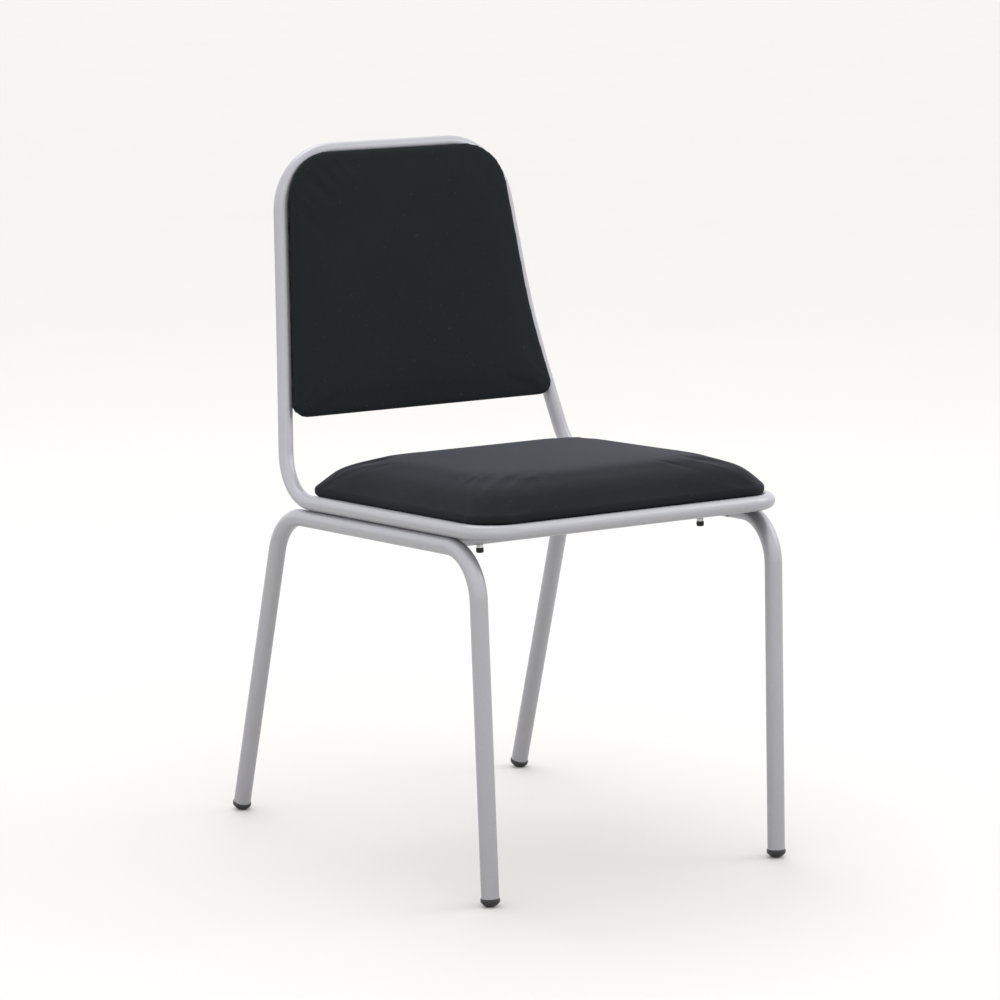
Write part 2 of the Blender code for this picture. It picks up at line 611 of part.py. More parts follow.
def build_back_fixing(where, side, along, board, panel, panel_back, front):
    """A lug welded to the upright, a screw through it, and a tee nut in the back board."""
    half = hoop_half(along)
    screw_x = half - BACK_FIXING_INSET
    base, up = along_spine(back_spine(), along)
    forwards = Vector((0, -up.z, up.y))
    lug_front = panel_back - TOUCH
    lug_back = lug_front - LUG_THICKNESS
    # the lug is a strip with a round end about the screw, drilled through
    reach = half - sqrt(max(LOOP_RADIUS ** 2 - lug_front ** 2, 0)) - 0.6
    strip = []
    round_radius = LUG_WIDTH / 2
    for k in range(9):
        angle = pi / 2 + pi * k / 8
        strip.append((screw_x + round_radius * cos(angle), round_radius * sin(angle)))
    strip += [(reach, -round_radius), (reach, round_radius)]
    strip = [(side * x, y) for x, y in strip]
    rings = stacked([(strip, lug_back), (strip, lug_front)])
    lug = add_object("back_lug_" + where, *capped(rings, laddered=False), STEEL_PAINT)
    centre = Vector((0, base.y, base.z))
    frame = Matrix((Vector((1, 0, 0)), up, Vector((1, 0, 0)).cross(up))).transposed().to_4x4()
    place = Matrix.Translation(centre * MM) @ frame
    # depth runs forwards, and so does the frame's third axis
    lug.matrix_world = place
    spot = centre + Vector((side * screw_x, 0, 0))

    head_back = lug_back - TOUCH
    tip = front - 2.2
    screw = turned("back_screw_" + where,
                   [(BOLT_HEAD_RADIUS - 2.4, head_back - 2.4), (BOLT_HEAD_RADIUS - 0.8, head_back - 1.6),
                    (BOLT_HEAD_RADIUS - 0.8, head_back), (BOLT_RADIUS, head_back),
                    (BOLT_RADIUS, tip - 0.8), (BOLT_RADIUS - 0.5, tip)], ZINC, sides=12)
    bore, barrel = BOLT_RADIUS + TOUCH, TEE_BARREL
    tee_front = front - TOUCH
    tee_nut = turned("back_tee_nut_" + where,
                     [(bore, -4.2), (barrel, -4.2), (barrel, tee_front - TEE_THICKNESS),
                      (TEE_FLANGE, tee_front - TEE_THICKNESS), (TEE_FLANGE, tee_front), (bore, tee_front)],
                     ZINC, sides=12, hollow=True)
    shaft = turned("fixing_hole_" + where,
                   [(HOLE_RADIUS + 1.2, -20), (HOLE_RADIUS + 1.2, tee_front - TEE_THICKNESS - TOUCH),
                    (TEE_FLANGE + 0.4, tee_front - TEE_THICKNESS - TOUCH), (TEE_FLANGE + 0.4, front + 6)],
                   ZINC, sides=14)
    for piece in (screw, tee_nut, shaft):
        aim(piece, spot, forwards)
    for piece in (board, panel, lug):
        add_cutter(piece, shaft)


def main():
    """Builds the whole chair."""
    clear_scene()
    build_loop()
    build_leg_frames()
    build_seat()
    build_back()


main()
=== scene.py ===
"""Looks of a padded stacking chair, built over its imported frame.

The chair is one bent tube (back hoop, seat rails and front bar) on two inverted-U leg frames,
with an upholstered seat and back. Sizes are in millimetres and are turned into metres where a
mesh is made. The seat is built in its own flat space (x, along the rails, height over the
rails' centre lines) and the back in the hoop's flat space (x, up along the hoop, depth
forwards); both are carried into place at the end, so every finished mesh lies at the origin.
"""
import logging
from collections.abc import Callable, Sequence
from dataclasses import dataclass
from enum import Enum
from functools import lru_cache
from math import acos, atan2, cos, exp, pi, radians, sin, sqrt, tan

import bmesh
import bpy
import numpy as np
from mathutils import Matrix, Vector


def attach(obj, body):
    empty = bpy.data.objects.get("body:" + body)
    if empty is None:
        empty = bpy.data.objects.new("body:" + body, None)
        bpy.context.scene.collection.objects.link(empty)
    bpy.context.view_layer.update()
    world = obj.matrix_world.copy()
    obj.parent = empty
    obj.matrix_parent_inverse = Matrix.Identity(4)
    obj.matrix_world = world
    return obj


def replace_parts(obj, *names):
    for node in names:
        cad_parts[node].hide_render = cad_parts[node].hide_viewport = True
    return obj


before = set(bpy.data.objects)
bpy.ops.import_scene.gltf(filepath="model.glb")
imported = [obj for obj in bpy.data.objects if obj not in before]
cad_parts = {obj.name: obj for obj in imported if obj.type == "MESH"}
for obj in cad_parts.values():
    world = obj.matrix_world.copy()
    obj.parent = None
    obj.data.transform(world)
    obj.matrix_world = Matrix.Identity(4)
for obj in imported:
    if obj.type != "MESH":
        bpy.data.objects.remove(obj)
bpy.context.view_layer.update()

logging.basicConfig(level=logging.INFO, format="%(message)s")
LOG = logging.getLogger("stacking_chair")

MM = 0.001
BODY = "root"
Pair = tuple[float, float]
Colour = tuple[float, float, float]
Ring = list[Vector]
Outline = list[Pair]


class Side(Enum):
    """The sitter's side; the value is the sign of X."""

    RIGHT = -1
    LEFT = 1

    @property
    def word(self) -> str:
        """The side's word in node names."""
        return self.name.lower()


class Slot(Enum):
    """The record's material slots."""

    PAINT = "silver_paint"
    FABRIC = "black_fabric"
    PLYWOOD = "plywood"
    LINING = "black_lining"
    PLASTIC = "black_plastic"
    RUBBER = "black_rubber"
    ZINC = "zinc_steel"
    WELD = "weld_steel"


# ------------------------------------------------------------------ materials


class Graph:
    """A node tree while its nodes are being wired."""

    def __init__(self, tree: bpy.types.NodeTree) -> None:
        """Keeps the tree that nodes are added to."""
        self.tree = tree

    def feed(self, socket: bpy.types.NodeSocket, value: object) -> None:
        """Links a socket into an input, or sets the input's own value."""
        if isinstance(value, bpy.types.NodeSocket):
            self.tree.links.new(value, socket)
        else:
            socket.default_value = value

    def node(self, kind: str, settings: dict | None = None, **inputs: object) -> bpy.types.Node:
        """Adds a node.

        Args:
            kind: the node's type name.
            settings: attributes of the node itself.
            inputs: values or sockets, by the input's name with _ for a space, or by _ and its number.

        Returns:
            The new node.
        """
        made = self.tree.nodes.new(kind)
        for key, value in (settings or {}).items():
            setattr(made, key, value)
        for key, value in inputs.items():
            number = key[1:]
            self.feed(made.inputs[int(number) if number.isdigit() else key.replace("_", " ")], value)
        return made

    def math(self, operation: str, first: object, second: object = 0.0) -> bpy.types.NodeSocket:
        """The output of a Math node on one or two values."""
        return self.node("ShaderNodeMath", {"operation": operation}, _0=first, _1=second).outputs[0]

    def between(self, factor: object, low: float = 0.0, high: float = 1.0, start: float = 0.0,
                end: float = 1.0) -> bpy.types.NodeSocket:
        """Maps a value from start..end to low..high."""
        return self.node("ShaderNodeMapRange", Value=factor, From_Min=start, From_Max=end, To_Min=low,
                         To_Max=high).outputs[0]


class Wiring(Graph):
    """A Principled material while its nodes are being wired."""

    def __init__(self, name: str, colour: Colour, roughness: float, metallic: float = 0.0) -> None:
        """Starts a material.

        Args:
            name: the material's name.
            colour: linear base colour.
            roughness: the shader's roughness where nothing is linked to it.
            metallic: the shader's metallic value.
        """
        self.material = bpy.data.materials.new(name)
        self.material.use_nodes = True
        super().__init__(self.material.node_tree)
        self.shader = self.tree.nodes["Principled BSDF"]
        self.shader.inputs["Base Color"].default_value = (*colour, 1.0)
        self.shader.inputs["Roughness"].default_value = roughness
        self.shader.inputs["Metallic"].default_value = metallic
        self.place = self.node("ShaderNodeTexCoord").outputs["Object"]

    def noise(self, scale: float, detail: float = 2.0, vector: object = None) -> bpy.types.NodeSocket:
        """Noise between 0 and 1.

        Args:
            scale: turns per metre.
            detail: octaves of finer noise.
            vector: where it is read; the object's own coordinates if left out.

        Returns:
            The noise's value.
        """
        return self.node("ShaderNodeTexNoise", Vector=vector or self.place, Scale=scale,
                         Detail=detail).outputs["Fac"]

    def tint(self, factor: object, stops: Sequence[tuple[float, Colour]]) -> bpy.types.NodeSocket:
        """A colour ramp.

        Args:
            factor: where on the ramp.
            stops: (position, linear colour) pairs.

        Returns:
            The colour.
        """
        ramp = self.node("ShaderNodeValToRGB", Fac=factor)
        elements = ramp.color_ramp.elements
        for position, _ in stops[2:]:
            elements.new(position)
        for element, (position, colour) in zip(elements, stops):
            element.position = position
            element.color = (*colour, 1.0)
        return ramp.outputs["Color"]

    def blend(self, factor: object, first: object, second: object,
              mode: str = "MIX") -> bpy.types.NodeSocket:
        """Mixes two colours."""
        mix = self.node("ShaderNodeMix",
                        {"data_type": "RGBA", "blend_type": mode, "clamp_result": True})
        for index, value in ((0, factor), (6, first), (7, second)):
            self.feed(mix.inputs[index], (*value, 1.0) if isinstance(value, tuple) else value)
        return mix.outputs[2]

    def set(self, **inputs: object) -> None:
        """Sets or links the shader's inputs, by name with _ for a space."""
        for key, value in inputs.items():
            self.feed(self.shader.inputs[key.replace("_", " ")], value)

    def bump(self, height: object, distance: float, strength: float = 1.0) -> None:
        """Adds a bump of a real height in metres on top of those before it."""
        last = self.shader.inputs["Normal"]
        before = last.links[0].from_socket if last.links else None
        made = self.node("ShaderNodeBump", Height=height, Distance=distance, Strength=strength)
        if before is not None:
            self.tree.links.new(before, made.inputs["Normal"])
        self.tree.links.new(made.outputs["Normal"], last)


@dataclass(frozen=True)
class PaintFinish:
    """Powder-coated steel tube: silver-grey, faintly pebbled, with painted shade darkening it in
    patches near the floor.
    """

    name: str = "silver_tube_paint"
    slot: Slot = Slot.PAINT
    colour: Colour = (0.325, 0.323, 0.343)
    floor_shade_colour: Colour = (0.26, 0.255, 0.26)
    roughness: Pair = (0.34, 0.46)
    metallic: float = 0.45
    pebble: float = 420.0            # bumps per metre
    floor_shade_height: float = 0.25        # metres over the floor

    def build(self) -> bpy.types.Material:
        """Makes the material."""
        wiring = Wiring(self.name, self.colour, self.roughness[0], self.metallic)
        height = wiring.node("ShaderNodeSeparateXYZ", Vector=wiring.place).outputs["Z"]
        # Painted shade: the colour darkens in patches towards the floor, in place of the floor's shadow
        # on the legs.
        low = wiring.between(height, 1.0, 0.0, end=self.floor_shade_height)
        blotch = wiring.noise(14.0, 4.0)
        floor_shade_mask = wiring.math("MULTIPLY", low, blotch)
        flake = wiring.noise(1600.0, 1.0)
        shade = wiring.tint(flake, [(0.35, tuple(0.93 * c for c in self.colour)),
                                    (0.65, tuple(1.06 * c for c in self.colour))])
        wiring.set(Base_Color=wiring.blend(floor_shade_mask, shade, self.floor_shade_colour),
                   Roughness=wiring.between(wiring.noise(60.0, 3.0), *self.roughness),
                   Coat_Weight=0.15, Coat_Roughness=0.25)
        wiring.bump(wiring.noise(self.pebble, 2.0), 0.00006, 0.5)
        return wiring.material


@dataclass(frozen=True)
class FabricFinish:
    """Plain-woven black upholstery: two thread directions, slub, lint, a soft sheen, painted shade in
    the weave's hollows and painted highlight on its threads.
    """

    name: str
    slot: Slot = Slot.FABRIC
    colour: Colour = (0.0080, 0.0088, 0.0108)
    worn: Colour = (0.0110, 0.0118, 0.0140)
    thread: float = 0.0011           # metres from thread to thread
    thread_height: float = 0.00012
    sheen: float = 0.12
    sheen_tint: Colour = (0.62, 0.66, 0.80)
    roughness: Pair = (0.80, 0.94)
    lint: Colour = (0.045, 0.047, 0.052)

    def weave(self, wiring: Wiring, across: object, along: object) -> bpy.types.NodeSocket:
        """The height of a plain weave on two coordinates: warp and weft pass over in turn."""
        turn = pi / self.thread
        warp = wiring.math("SINE", wiring.math("MULTIPLY", across, turn))
        weft = wiring.math("SINE", wiring.math("MULTIPLY", along, turn))
        return wiring.math("MULTIPLY", warp, weft)

    def build(self) -> bpy.types.Material:
        """Makes the material."""
        wiring = Wiring(self.name, self.colour, self.roughness[0])
        x, y, z = wiring.node("ShaderNodeSeparateXYZ", Vector=wiring.place).outputs
        facing = wiring.node("ShaderNodeNewGeometry").outputs["Normal"]
        shares = [wiring.math("POWER", wiring.math("ABSOLUTE", part), 4.0)
                  for part in wiring.node("ShaderNodeSeparateXYZ", Vector=facing).outputs]
        total = wiring.math("ADD", wiring.math("ADD", shares[0], shares[1]), shares[2])
        height = None
        for share, (across, along) in zip(shares, ((y, z), (x, z), (x, y))):
            part = wiring.math("MULTIPLY", self.weave(wiring, across, along),
                               wiring.math("DIVIDE", share, total))
            height = part if height is None else wiring.math("ADD", height, part)
        slub = wiring.noise(900.0, 2.0)
        wear = wiring.between(wiring.noise(7.0, 4.0), start=0.35, end=0.75)
        # Painted shade and highlight: the colour is darkened where the weave lies low and lightened
        # where its threads stand high.
        weave_shade_factor = wiring.between(height, 0.72, 1.0)
        base = wiring.blend(wear, self.colour, self.worn)
        weave_shaded_colour = wiring.blend(1.0, base, wiring.tint(weave_shade_factor, [(0.0, (0.55,) * 3), (1.0, (1.18,) * 3)]),
                               "MULTIPLY")
        lint = wiring.between(wiring.noise(330.0, 0.0), high=0.25, start=0.78, end=0.86)
        wiring.set(Base_Color=wiring.blend(lint, weave_shaded_colour, self.lint),
                   Roughness=wiring.between(slub, *self.roughness),
                   Sheen_Weight=self.sheen, Sheen_Roughness=0.32, Sheen_Tint=(*self.sheen_tint, 1.0),
                   Specular_IOR_Level=0.12)
        wiring.bump(height, self.thread_height, 0.6)
        wiring.bump(slub, 0.00010, 0.35)
        return wiring.material


@dataclass(frozen=True)
class LiningFinish:
    """Thin non-woven lining: matted fibres pressed in a fine grid of dots."""

    name: str = "black_underside_lining"
    slot: Slot = Slot.LINING
    colour: Colour = (0.011, 0.011, 0.012)

    def build(self) -> bpy.types.Material:
        """Makes the material."""
        wiring = Wiring(self.name, self.colour, 0.92)
        dots = wiring.node("ShaderNodeTexVoronoi", Vector=wiring.place, Scale=420.0, Randomness=0.15)
        fibre = wiring.noise(1500.0, 3.0)
        wiring.set(Base_Color=wiring.tint(fibre, [(0.3, self.colour), (0.7, (0.022, 0.022, 0.024))]),
                   Roughness=wiring.between(fibre, 0.82, 0.97), Specular_IOR_Level=0.2)
        wiring.bump(dots.outputs["Distance"], 0.0002, 0.5)
        wiring.bump(fibre, 0.00008, 0.5)
        return wiring.material


@dataclass(frozen=True)
class MouldedFinish:
    """Moulded black plastic or rubber with a fine spark texture and scuffs."""

    name: str
    slot: Slot
    colour: Colour
    roughness: Pair
    scuff: Colour = (0.05, 0.05, 0.052)

    def build(self) -> bpy.types.Material:
        """Makes the material."""
        wiring = Wiring(self.name, self.colour, self.roughness[0])
        scuffs = wiring.between(wiring.noise(160.0, 5.0), high=0.5, start=0.58, end=0.75)
        wiring.set(Base_Color=wiring.blend(scuffs, self.colour, self.scuff),
                   Roughness=wiring.between(wiring.noise(90.0, 3.0), *self.roughness))
        wiring.bump(wiring.noise(2200.0, 1.0), 0.00004, 0.5)
        return wiring.material


@dataclass(frozen=True)
class PlatedFinish:
    """Zinc-plated fasteners: pale, faintly streaked steel."""

    name: str = "zinc_fastener"
    slot: Slot = Slot.ZINC
    colour: Colour = (0.62, 0.62, 0.60)

    def build(self) -> bpy.types.Material:
        """Makes the material."""
        wiring = Wiring(self.name, self.colour, 0.35, 1.0)
        cloud = wiring.noise(240.0, 4.0)
        wiring.set(Base_Color=wiring.tint(cloud, [(0.3, (0.52, 0.53, 0.50)), (0.7, self.colour)]),
                   Roughness=wiring.between(cloud, 0.26, 0.48))
        wiring.bump(wiring.noise(1800.0, 2.0), 0.00003, 0.4)
        return wiring.material


@dataclass(frozen=True)
class WeldFinish:
    """Painted-over weld bead, a little duller than the tubes and rough between its ripples."""

    name: str = "painted_weld"
    slot: Slot = Slot.WELD
    colour: Colour = (0.38, 0.38, 0.40)

    def build(self) -> bpy.types.Material:
        """Makes the material."""
        wiring = Wiring(self.name, self.colour, 0.5, 0.45)
        spatter = wiring.noise(700.0, 3.0)
        wiring.set(Base_Color=wiring.tint(spatter, [(0.3, (0.30, 0.30, 0.31)), (0.7, self.colour)]),
                   Roughness=wiring.between(spatter, 0.42, 0.62))
        wiring.bump(spatter, 0.00012, 0.6)
        return wiring.material


@dataclass(frozen=True)
class PlywoodFinish:
    """Raw plywood: grain along X, with the plies showing on its edges."""

    name: str = "seat_plywood"
    slot: Slot = Slot.PLYWOOD
    light: Colour = (0.52, 0.36, 0.20)
    dark: Colour = (0.33, 0.20, 0.10)

    def build(self) -> bpy.types.Material:
        """Makes the material."""
        wiring = Wiring(self.name, self.light, 0.7)
        stretched = wiring.node("ShaderNodeMapping", Vector=wiring.place, Scale=(6.0, 90.0, 260.0))
        grain = wiring.noise(1.0, 6.0, stretched.outputs[0])
        wiring.set(Base_Color=wiring.tint(grain, [(0.3, self.dark), (0.62, self.light)]),
                   Roughness=wiring.between(grain, 0.6, 0.8))
        wiring.bump(grain, 0.0002, 0.4)
        return wiring.material


PAINT = PaintFinish()
SEAT_FABRIC = FabricFinish("black_seat_weave")
BACK_FABRIC = FabricFinish("black_back_weave", colour=(0.0070, 0.0098, 0.0106),
                           worn=(0.0092, 0.0108, 0.0120), sheen=0.03)
LINING = LiningFinish()
PLASTIC = MouldedFinish("black_glide_plastic", Slot.PLASTIC, (0.012, 0.012, 0.013), (0.38, 0.52))
RUBBER = MouldedFinish("black_bumper_rubber", Slot.RUBBER, (0.010, 0.010, 0.010), (0.62, 0.8))
ZINC = PlatedFinish()
WELD = WeldFinish()
PLYWOOD = PlywoodFinish()
Finish = (PaintFinish | FabricFinish | LiningFinish | MouldedFinish | PlatedFinish | WeldFinish
          | PlywoodFinish)


@lru_cache(maxsize=None)
def material_of(finish: Finish) -> bpy.types.Material:
    """The material of a finish, made on first use."""
    return finish.build()


# ------------------------------------------------------------------ shapes


def rounded_path(corners: Sequence[Vector], bends: Sequence[float], step: float) -> Ring:
    """Straight runs between corners, each corner rounded.

    Args:
        corners: where the straight runs would meet, the two ends included.
        bends: the bend radius at each inner corner.
        step: the turn between points of a bend, in radians.

    Returns:
        The points of the path.
    """
    points = [corners[0].copy()]
    for before, corner, after, bend in zip(corners, corners[1:], corners[2:], bends):
        to_before = (before - corner).normalized()
        to_after = (after - corner).normalized()
        half_angle = to_before.angle(to_after) / 2
        centre = corner + (to_before + to_after).normalized() * (bend / sin(half_angle))
        start = corner + to_before * (bend / tan(half_angle)) - centre
        end = corner + to_after * (bend / tan(half_angle)) - centre
        turn = pi - 2 * half_angle
        count = max(2, round(turn / step))
        for k in range(count + 1):
            ahead = turn * k / count
            behind = turn * (1 - k / count)
            points.append(centre + (start * sin(behind) + end * sin(ahead)) / sin(turn))
    points.append(corners[-1].copy())
    return points


def tube_rings(path: Ring, radius: float, sides: int, closed: bool = False) -> list[Ring]:
    """Rings square to a path, carried along it without twisting.

    Args:
        path: the centre line; the last point of a closed one is not its first again.
        radius: the tube's radius.
        sides: points in a ring.
        closed: whether the last ring meets the first.

    Returns:
        One ring for each point of the path.
    """
    count = len(path)
    if closed:
        tangents = [(path[(k + 1) % count] - path[k - 1]).normalized() for k in range(count)]
    else:
        last = count - 1
        tangents = [(path[min(k + 1, last)] - path[max(k - 1, 0)]).normalized() for k in range(count)]
    side = tangents[0].orthogonal().normalized()
    start, previous, sides_at = side.copy(), tangents[0], []
    for tangent in tangents + (tangents[:1] if closed else []):
        side = previous.rotation_difference(tangent) @ side
        side = (side - tangent * side.dot(tangent)).normalized()
        sides_at.append(side)
        previous = tangent
    slip = 0.0
    if closed:
        back = sides_at.pop()
        slip = atan2(tangents[0].dot(back.cross(start)), back.dot(start))
    rings = []
    for k, (centre, tangent, side) in enumerate(zip(path, tangents, sides_at)):
        other = tangent.cross(side)
        shift = slip * k / count
        rings.append([centre + (side * cos(turn + shift) + other * sin(turn + shift)) * radius
                      for turn in (2 * pi * j / sides for j in range(sides))])
    return rings


def ring_around(centre: Vector, axis: Vector, radius: float, height: float, sides: int) -> Ring:
    """A ring about an axis, at a height along it from a centre."""
    side = (Vector((1, 0, 0)) - axis * axis.x).normalized()
    other = axis.cross(side)
    return [centre + axis * height + (side * cos(turn) + other * sin(turn)) * radius
            for turn in (2 * pi * k / sides for k in range(sides))]


class Skin:
    """A mesh in millimetres while its rings are being joined."""

    def __init__(self) -> None:
        """Starts an empty mesh."""
        self.work = bmesh.new()

    def rings(self, rings: Sequence[Ring], closed: bool = False, capped: bool = False) -> None:
        """Joins rings of equal point count.

        Args:
            rings: the rings in order.
            closed: joins the last ring to the first.
            capped: closes both ends with flat faces.
        """
        rows = [[self.work.verts.new(point) for point in ring] for ring in rings]
        count = len(rings[0])
        pairs = list(zip(rows, rows[1:])) + ([(rows[-1], rows[0])] if closed else [])
        for lower, upper in pairs:
            for k in range(count):
                after = (k + 1) % count
                self.work.faces.new((lower[k], lower[after], upper[after], upper[k]))
        if capped:
            self.work.faces.new(rows[0])
            self.work.faces.new(rows[-1])

    def mesh(self, name: str, place: Callable[[Vector], Vector] | None = None) -> bpy.types.Mesh:
        """Finishes the mesh in metres, with its faces turned outwards.

        Args:
            name: the mesh's name.
            place: carries a point in millimetres into place, in millimetres.

        Returns:
            The mesh.
        """
        bmesh.ops.remove_doubles(self.work, verts=self.work.verts, dist=1e-4)
        for vert in self.work.verts:
            vert.co = (place(vert.co) if place else vert.co) * MM
        bmesh.ops.recalc_face_normals(self.work, faces=self.work.faces)
        made = bpy.data.meshes.new(name)
        self.work.to_mesh(made)
        self.work.free()
        return made


def link(name: str, mesh: bpy.types.Mesh, finish: Finish, smooth: float = 40.0) -> bpy.types.Object:
    """Puts a finished mesh in the scene, on the chair's body.

    Args:
        name: the piece's name.
        mesh: its mesh, in metres and in place.
        finish: what it is made of.
        smooth: the angle in degrees over which edges stay sharp.

    Returns:
        The piece.
    """
    mesh.materials.clear()
    mesh.materials.append(material_of(finish))
    mesh.shade_smooth()
    mesh.set_sharp_from_angle(angle=radians(smooth))
    piece = bpy.data.objects.new(name, mesh)
    bpy.context.scene.collection.objects.link(piece)
    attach(piece, BODY)
    LOG.info("%s: %d faces", name, len(mesh.polygons))
    return piece


def applied(name: str, base: bpy.types.Mesh,
            dress: Callable[[bpy.types.Object], None]) -> bpy.types.Mesh:
    """The mesh that modifiers make of a base mesh.

    Args:
        name: the result's name.
        base: the mesh they start from.
        dress: adds the modifiers to a temporary object.

    Returns:
        The evaluated mesh, with nothing live on it.
    """
    carrier = bpy.data.objects.new(name, base)
    bpy.context.scene.collection.objects.link(carrier)
    dress(carrier)
    seen = carrier.evaluated_get(bpy.context.evaluated_depsgraph_get())
    made = bpy.data.meshes.new_from_object(seen)
    bpy.data.objects.remove(carrier, do_unlink=True)
    made.name = name
    return made


# ------------------------------------------------------------------ repeating parts


class Tree(Graph):
    """A Geometry Nodes tree with named inputs, ending in Realize Instances and Set Material."""

    def __init__(self, name: str) -> None:
        """Starts a tree that takes and gives geometry."""
        super().__init__(bpy.data.node_groups.new(name, "GeometryNodeTree"))
        self.tree.interface.new_socket("Geometry", in_out="INPUT", socket_type="NodeSocketGeometry")
        self.tree.interface.new_socket("Geometry", in_out="OUTPUT", socket_type="NodeSocketGeometry")
        self.start = self.tree.nodes.new("NodeGroupInput")
        self.values: dict[str, float] = {}

    def number(self, name: str, value: float) -> bpy.types.NodeSocket:
        """Adds a named number input, which the modifier is given by its identifier."""
        made = self.tree.interface.new_socket(name, in_out="INPUT", socket_type="NodeSocketFloat")
        self.values[made.identifier] = value
        return self.start.outputs[name]

    def mesh(self, name: str, base: bpy.types.Mesh, result: bpy.types.NodeSocket,
             finish: Finish) -> bpy.types.Mesh:
        """Runs the tree on a base mesh and keeps the plain result.

        Args:
            name: the result's name.
            base: the mesh that the tree reads.
            result: the geometry to keep.
            finish: what it is made of.

        Returns:
            The plain mesh.
        """
        realized = self.node("GeometryNodeRealizeInstances", Geometry=result)
        painted = self.node("GeometryNodeSetMaterial", Geometry=realized.outputs[0],
                            Material=material_of(finish))
        end = self.tree.nodes.new("NodeGroupOutput")
        self.tree.links.new(painted.outputs[0], end.inputs[0])

        def dress(carrier: bpy.types.Object) -> None:
            """Adds the tree with its input values."""
            modifier = carrier.modifiers.new(name, "NODES")
            modifier.node_group = self.tree
            for identifier, value in self.values.items():
                modifier[identifier] = value

        return applied(name, base, dress)


def polyline(name: str, points: Sequence[Vector], closed: bool = False) -> bpy.types.Mesh:
    """A mesh of edges through points in millimetres."""
    count = len(points)
    edges = [(k, (k + 1) % count) for k in range(count if closed else count - 1)]
    made = bpy.data.meshes.new(name)
    made.from_pydata([point * MM for point in points], edges, [])
    return made


BEAD_STEP = 0.4                      # between the rings of a weld bead


def weld_bead(name: str, path: Sequence[Vector], radius: float, ripple: float) -> bpy.types.Object:
    """A rippled weld bead along a path, swept by Geometry Nodes.

    Args:
        name: the piece's name.
        path: points in millimetres.
        radius: the bead's radius in millimetres.
        ripple: the distance between ripples in millimetres.

    Returns:
        The piece.
    """
    tree = Tree(name + "_nodes")
    bead, pitch = tree.number("Bead radius", radius * MM), tree.number("Ripple pitch", ripple * MM)
    line = tree.node("GeometryNodeMeshToCurve", Mesh=tree.start.outputs["Geometry"]).outputs[0]
    fine = tree.node("GeometryNodeResampleCurve", {"mode": "LENGTH"}, Curve=line,
                     Length=BEAD_STEP * MM).outputs[0]
    spline = tree.node("GeometryNodeSplineParameter").outputs
    saw = tree.math("FRACT", tree.math("DIVIDE", spline["Length"], pitch))
    swell = tree.between(saw, 0.78, 1.0)
    taper = tree.between(tree.math("PINGPONG", spline["Factor"], 0.5), 0.35, 1.0, end=0.07)
    size = tree.math("MULTIPLY", swell, taper)
    sized = tree.node("GeometryNodeSetCurveRadius", Curve=fine, Radius=size).outputs[0]
    section = tree.node("GeometryNodeCurvePrimitiveCircle", Resolution=14, Radius=bead).outputs[0]
    skin = tree.node("GeometryNodeCurveToMesh", Curve=sized, Profile_Curve=section, Fill_Caps=True)
    if "Scale" in skin.inputs:
        tree.tree.links.new(size, skin.inputs["Scale"])
    return link(name, tree.mesh(name, polyline(name, path), skin.outputs[0], WELD), WELD, 60.0)


def staples(name: str, path: Sequence[Vector], up: Vector, pitch: float) -> bpy.types.Object:
    """A row of staples round a closed line, set out by Geometry Nodes.

    Args:
        name: the piece's name.
        path: the closed line they stand on, in millimetres.
        up: the direction that they face.
        pitch: the distance between staples in millimetres.

    Returns:
        The piece.
    """
    tree = Tree(name + "_nodes")
    spacing, crown = tree.number("Spacing", pitch * MM), tree.number("Crown half-width", 4.6 * MM)
    wire = tree.number("Wire radius", 0.35 * MM)
    line = tree.node("GeometryNodeMeshToCurve", Mesh=tree.start.outputs["Geometry"]).outputs[0]
    marks = tree.node("GeometryNodeCurveToPoints", {"mode": "LENGTH"}, Curve=line, Length=spacing)
    turned = tree.node("FunctionNodeAlignRotationToVector", {"axis": "X"},
                       Vector=marks.outputs["Tangent"])
    start = tree.node("ShaderNodeCombineXYZ", X=tree.math("MULTIPLY", crown, -1.0)).outputs[0]
    end = tree.node("ShaderNodeCombineXYZ", X=crown).outputs[0]
    bar = tree.node("GeometryNodeCurvePrimitiveLine", Start=start, End=end).outputs[0]
    section = tree.node("GeometryNodeCurvePrimitiveCircle", Resolution=6, Radius=wire).outputs[0]
    staple = tree.node("GeometryNodeCurveToMesh", Curve=bar, Profile_Curve=section,
                       Fill_Caps=True).outputs[0]
    jitter = tree.node("FunctionNodeRandomValue", {"data_type": "FLOAT"}, Min=-0.16, Max=0.16, Seed=7)
    amount = next(s for s in jitter.outputs if s.enabled and s.type == "VALUE")
    skew = tree.node("FunctionNodeAxisAngleToRotation", Axis=up, Angle=amount).outputs[0]
    facing = tree.node("FunctionNodeRotateRotation", Rotation=turned.outputs[0],
                       Rotate_By=skew).outputs[0]
    row = tree.node("GeometryNodeInstanceOnPoints", Points=marks.outputs["Points"], Instance=staple,
                    Rotation=facing).outputs[0]
    return link(name, tree.mesh(name, polyline(name, path, closed=True), row, ZINC), ZINC)


# ------------------------------------------------------------------ the tube frame


TUBE_SIDES = 40
GLIDE_SIDES = 48
BEND_STEP = radians(3.0)


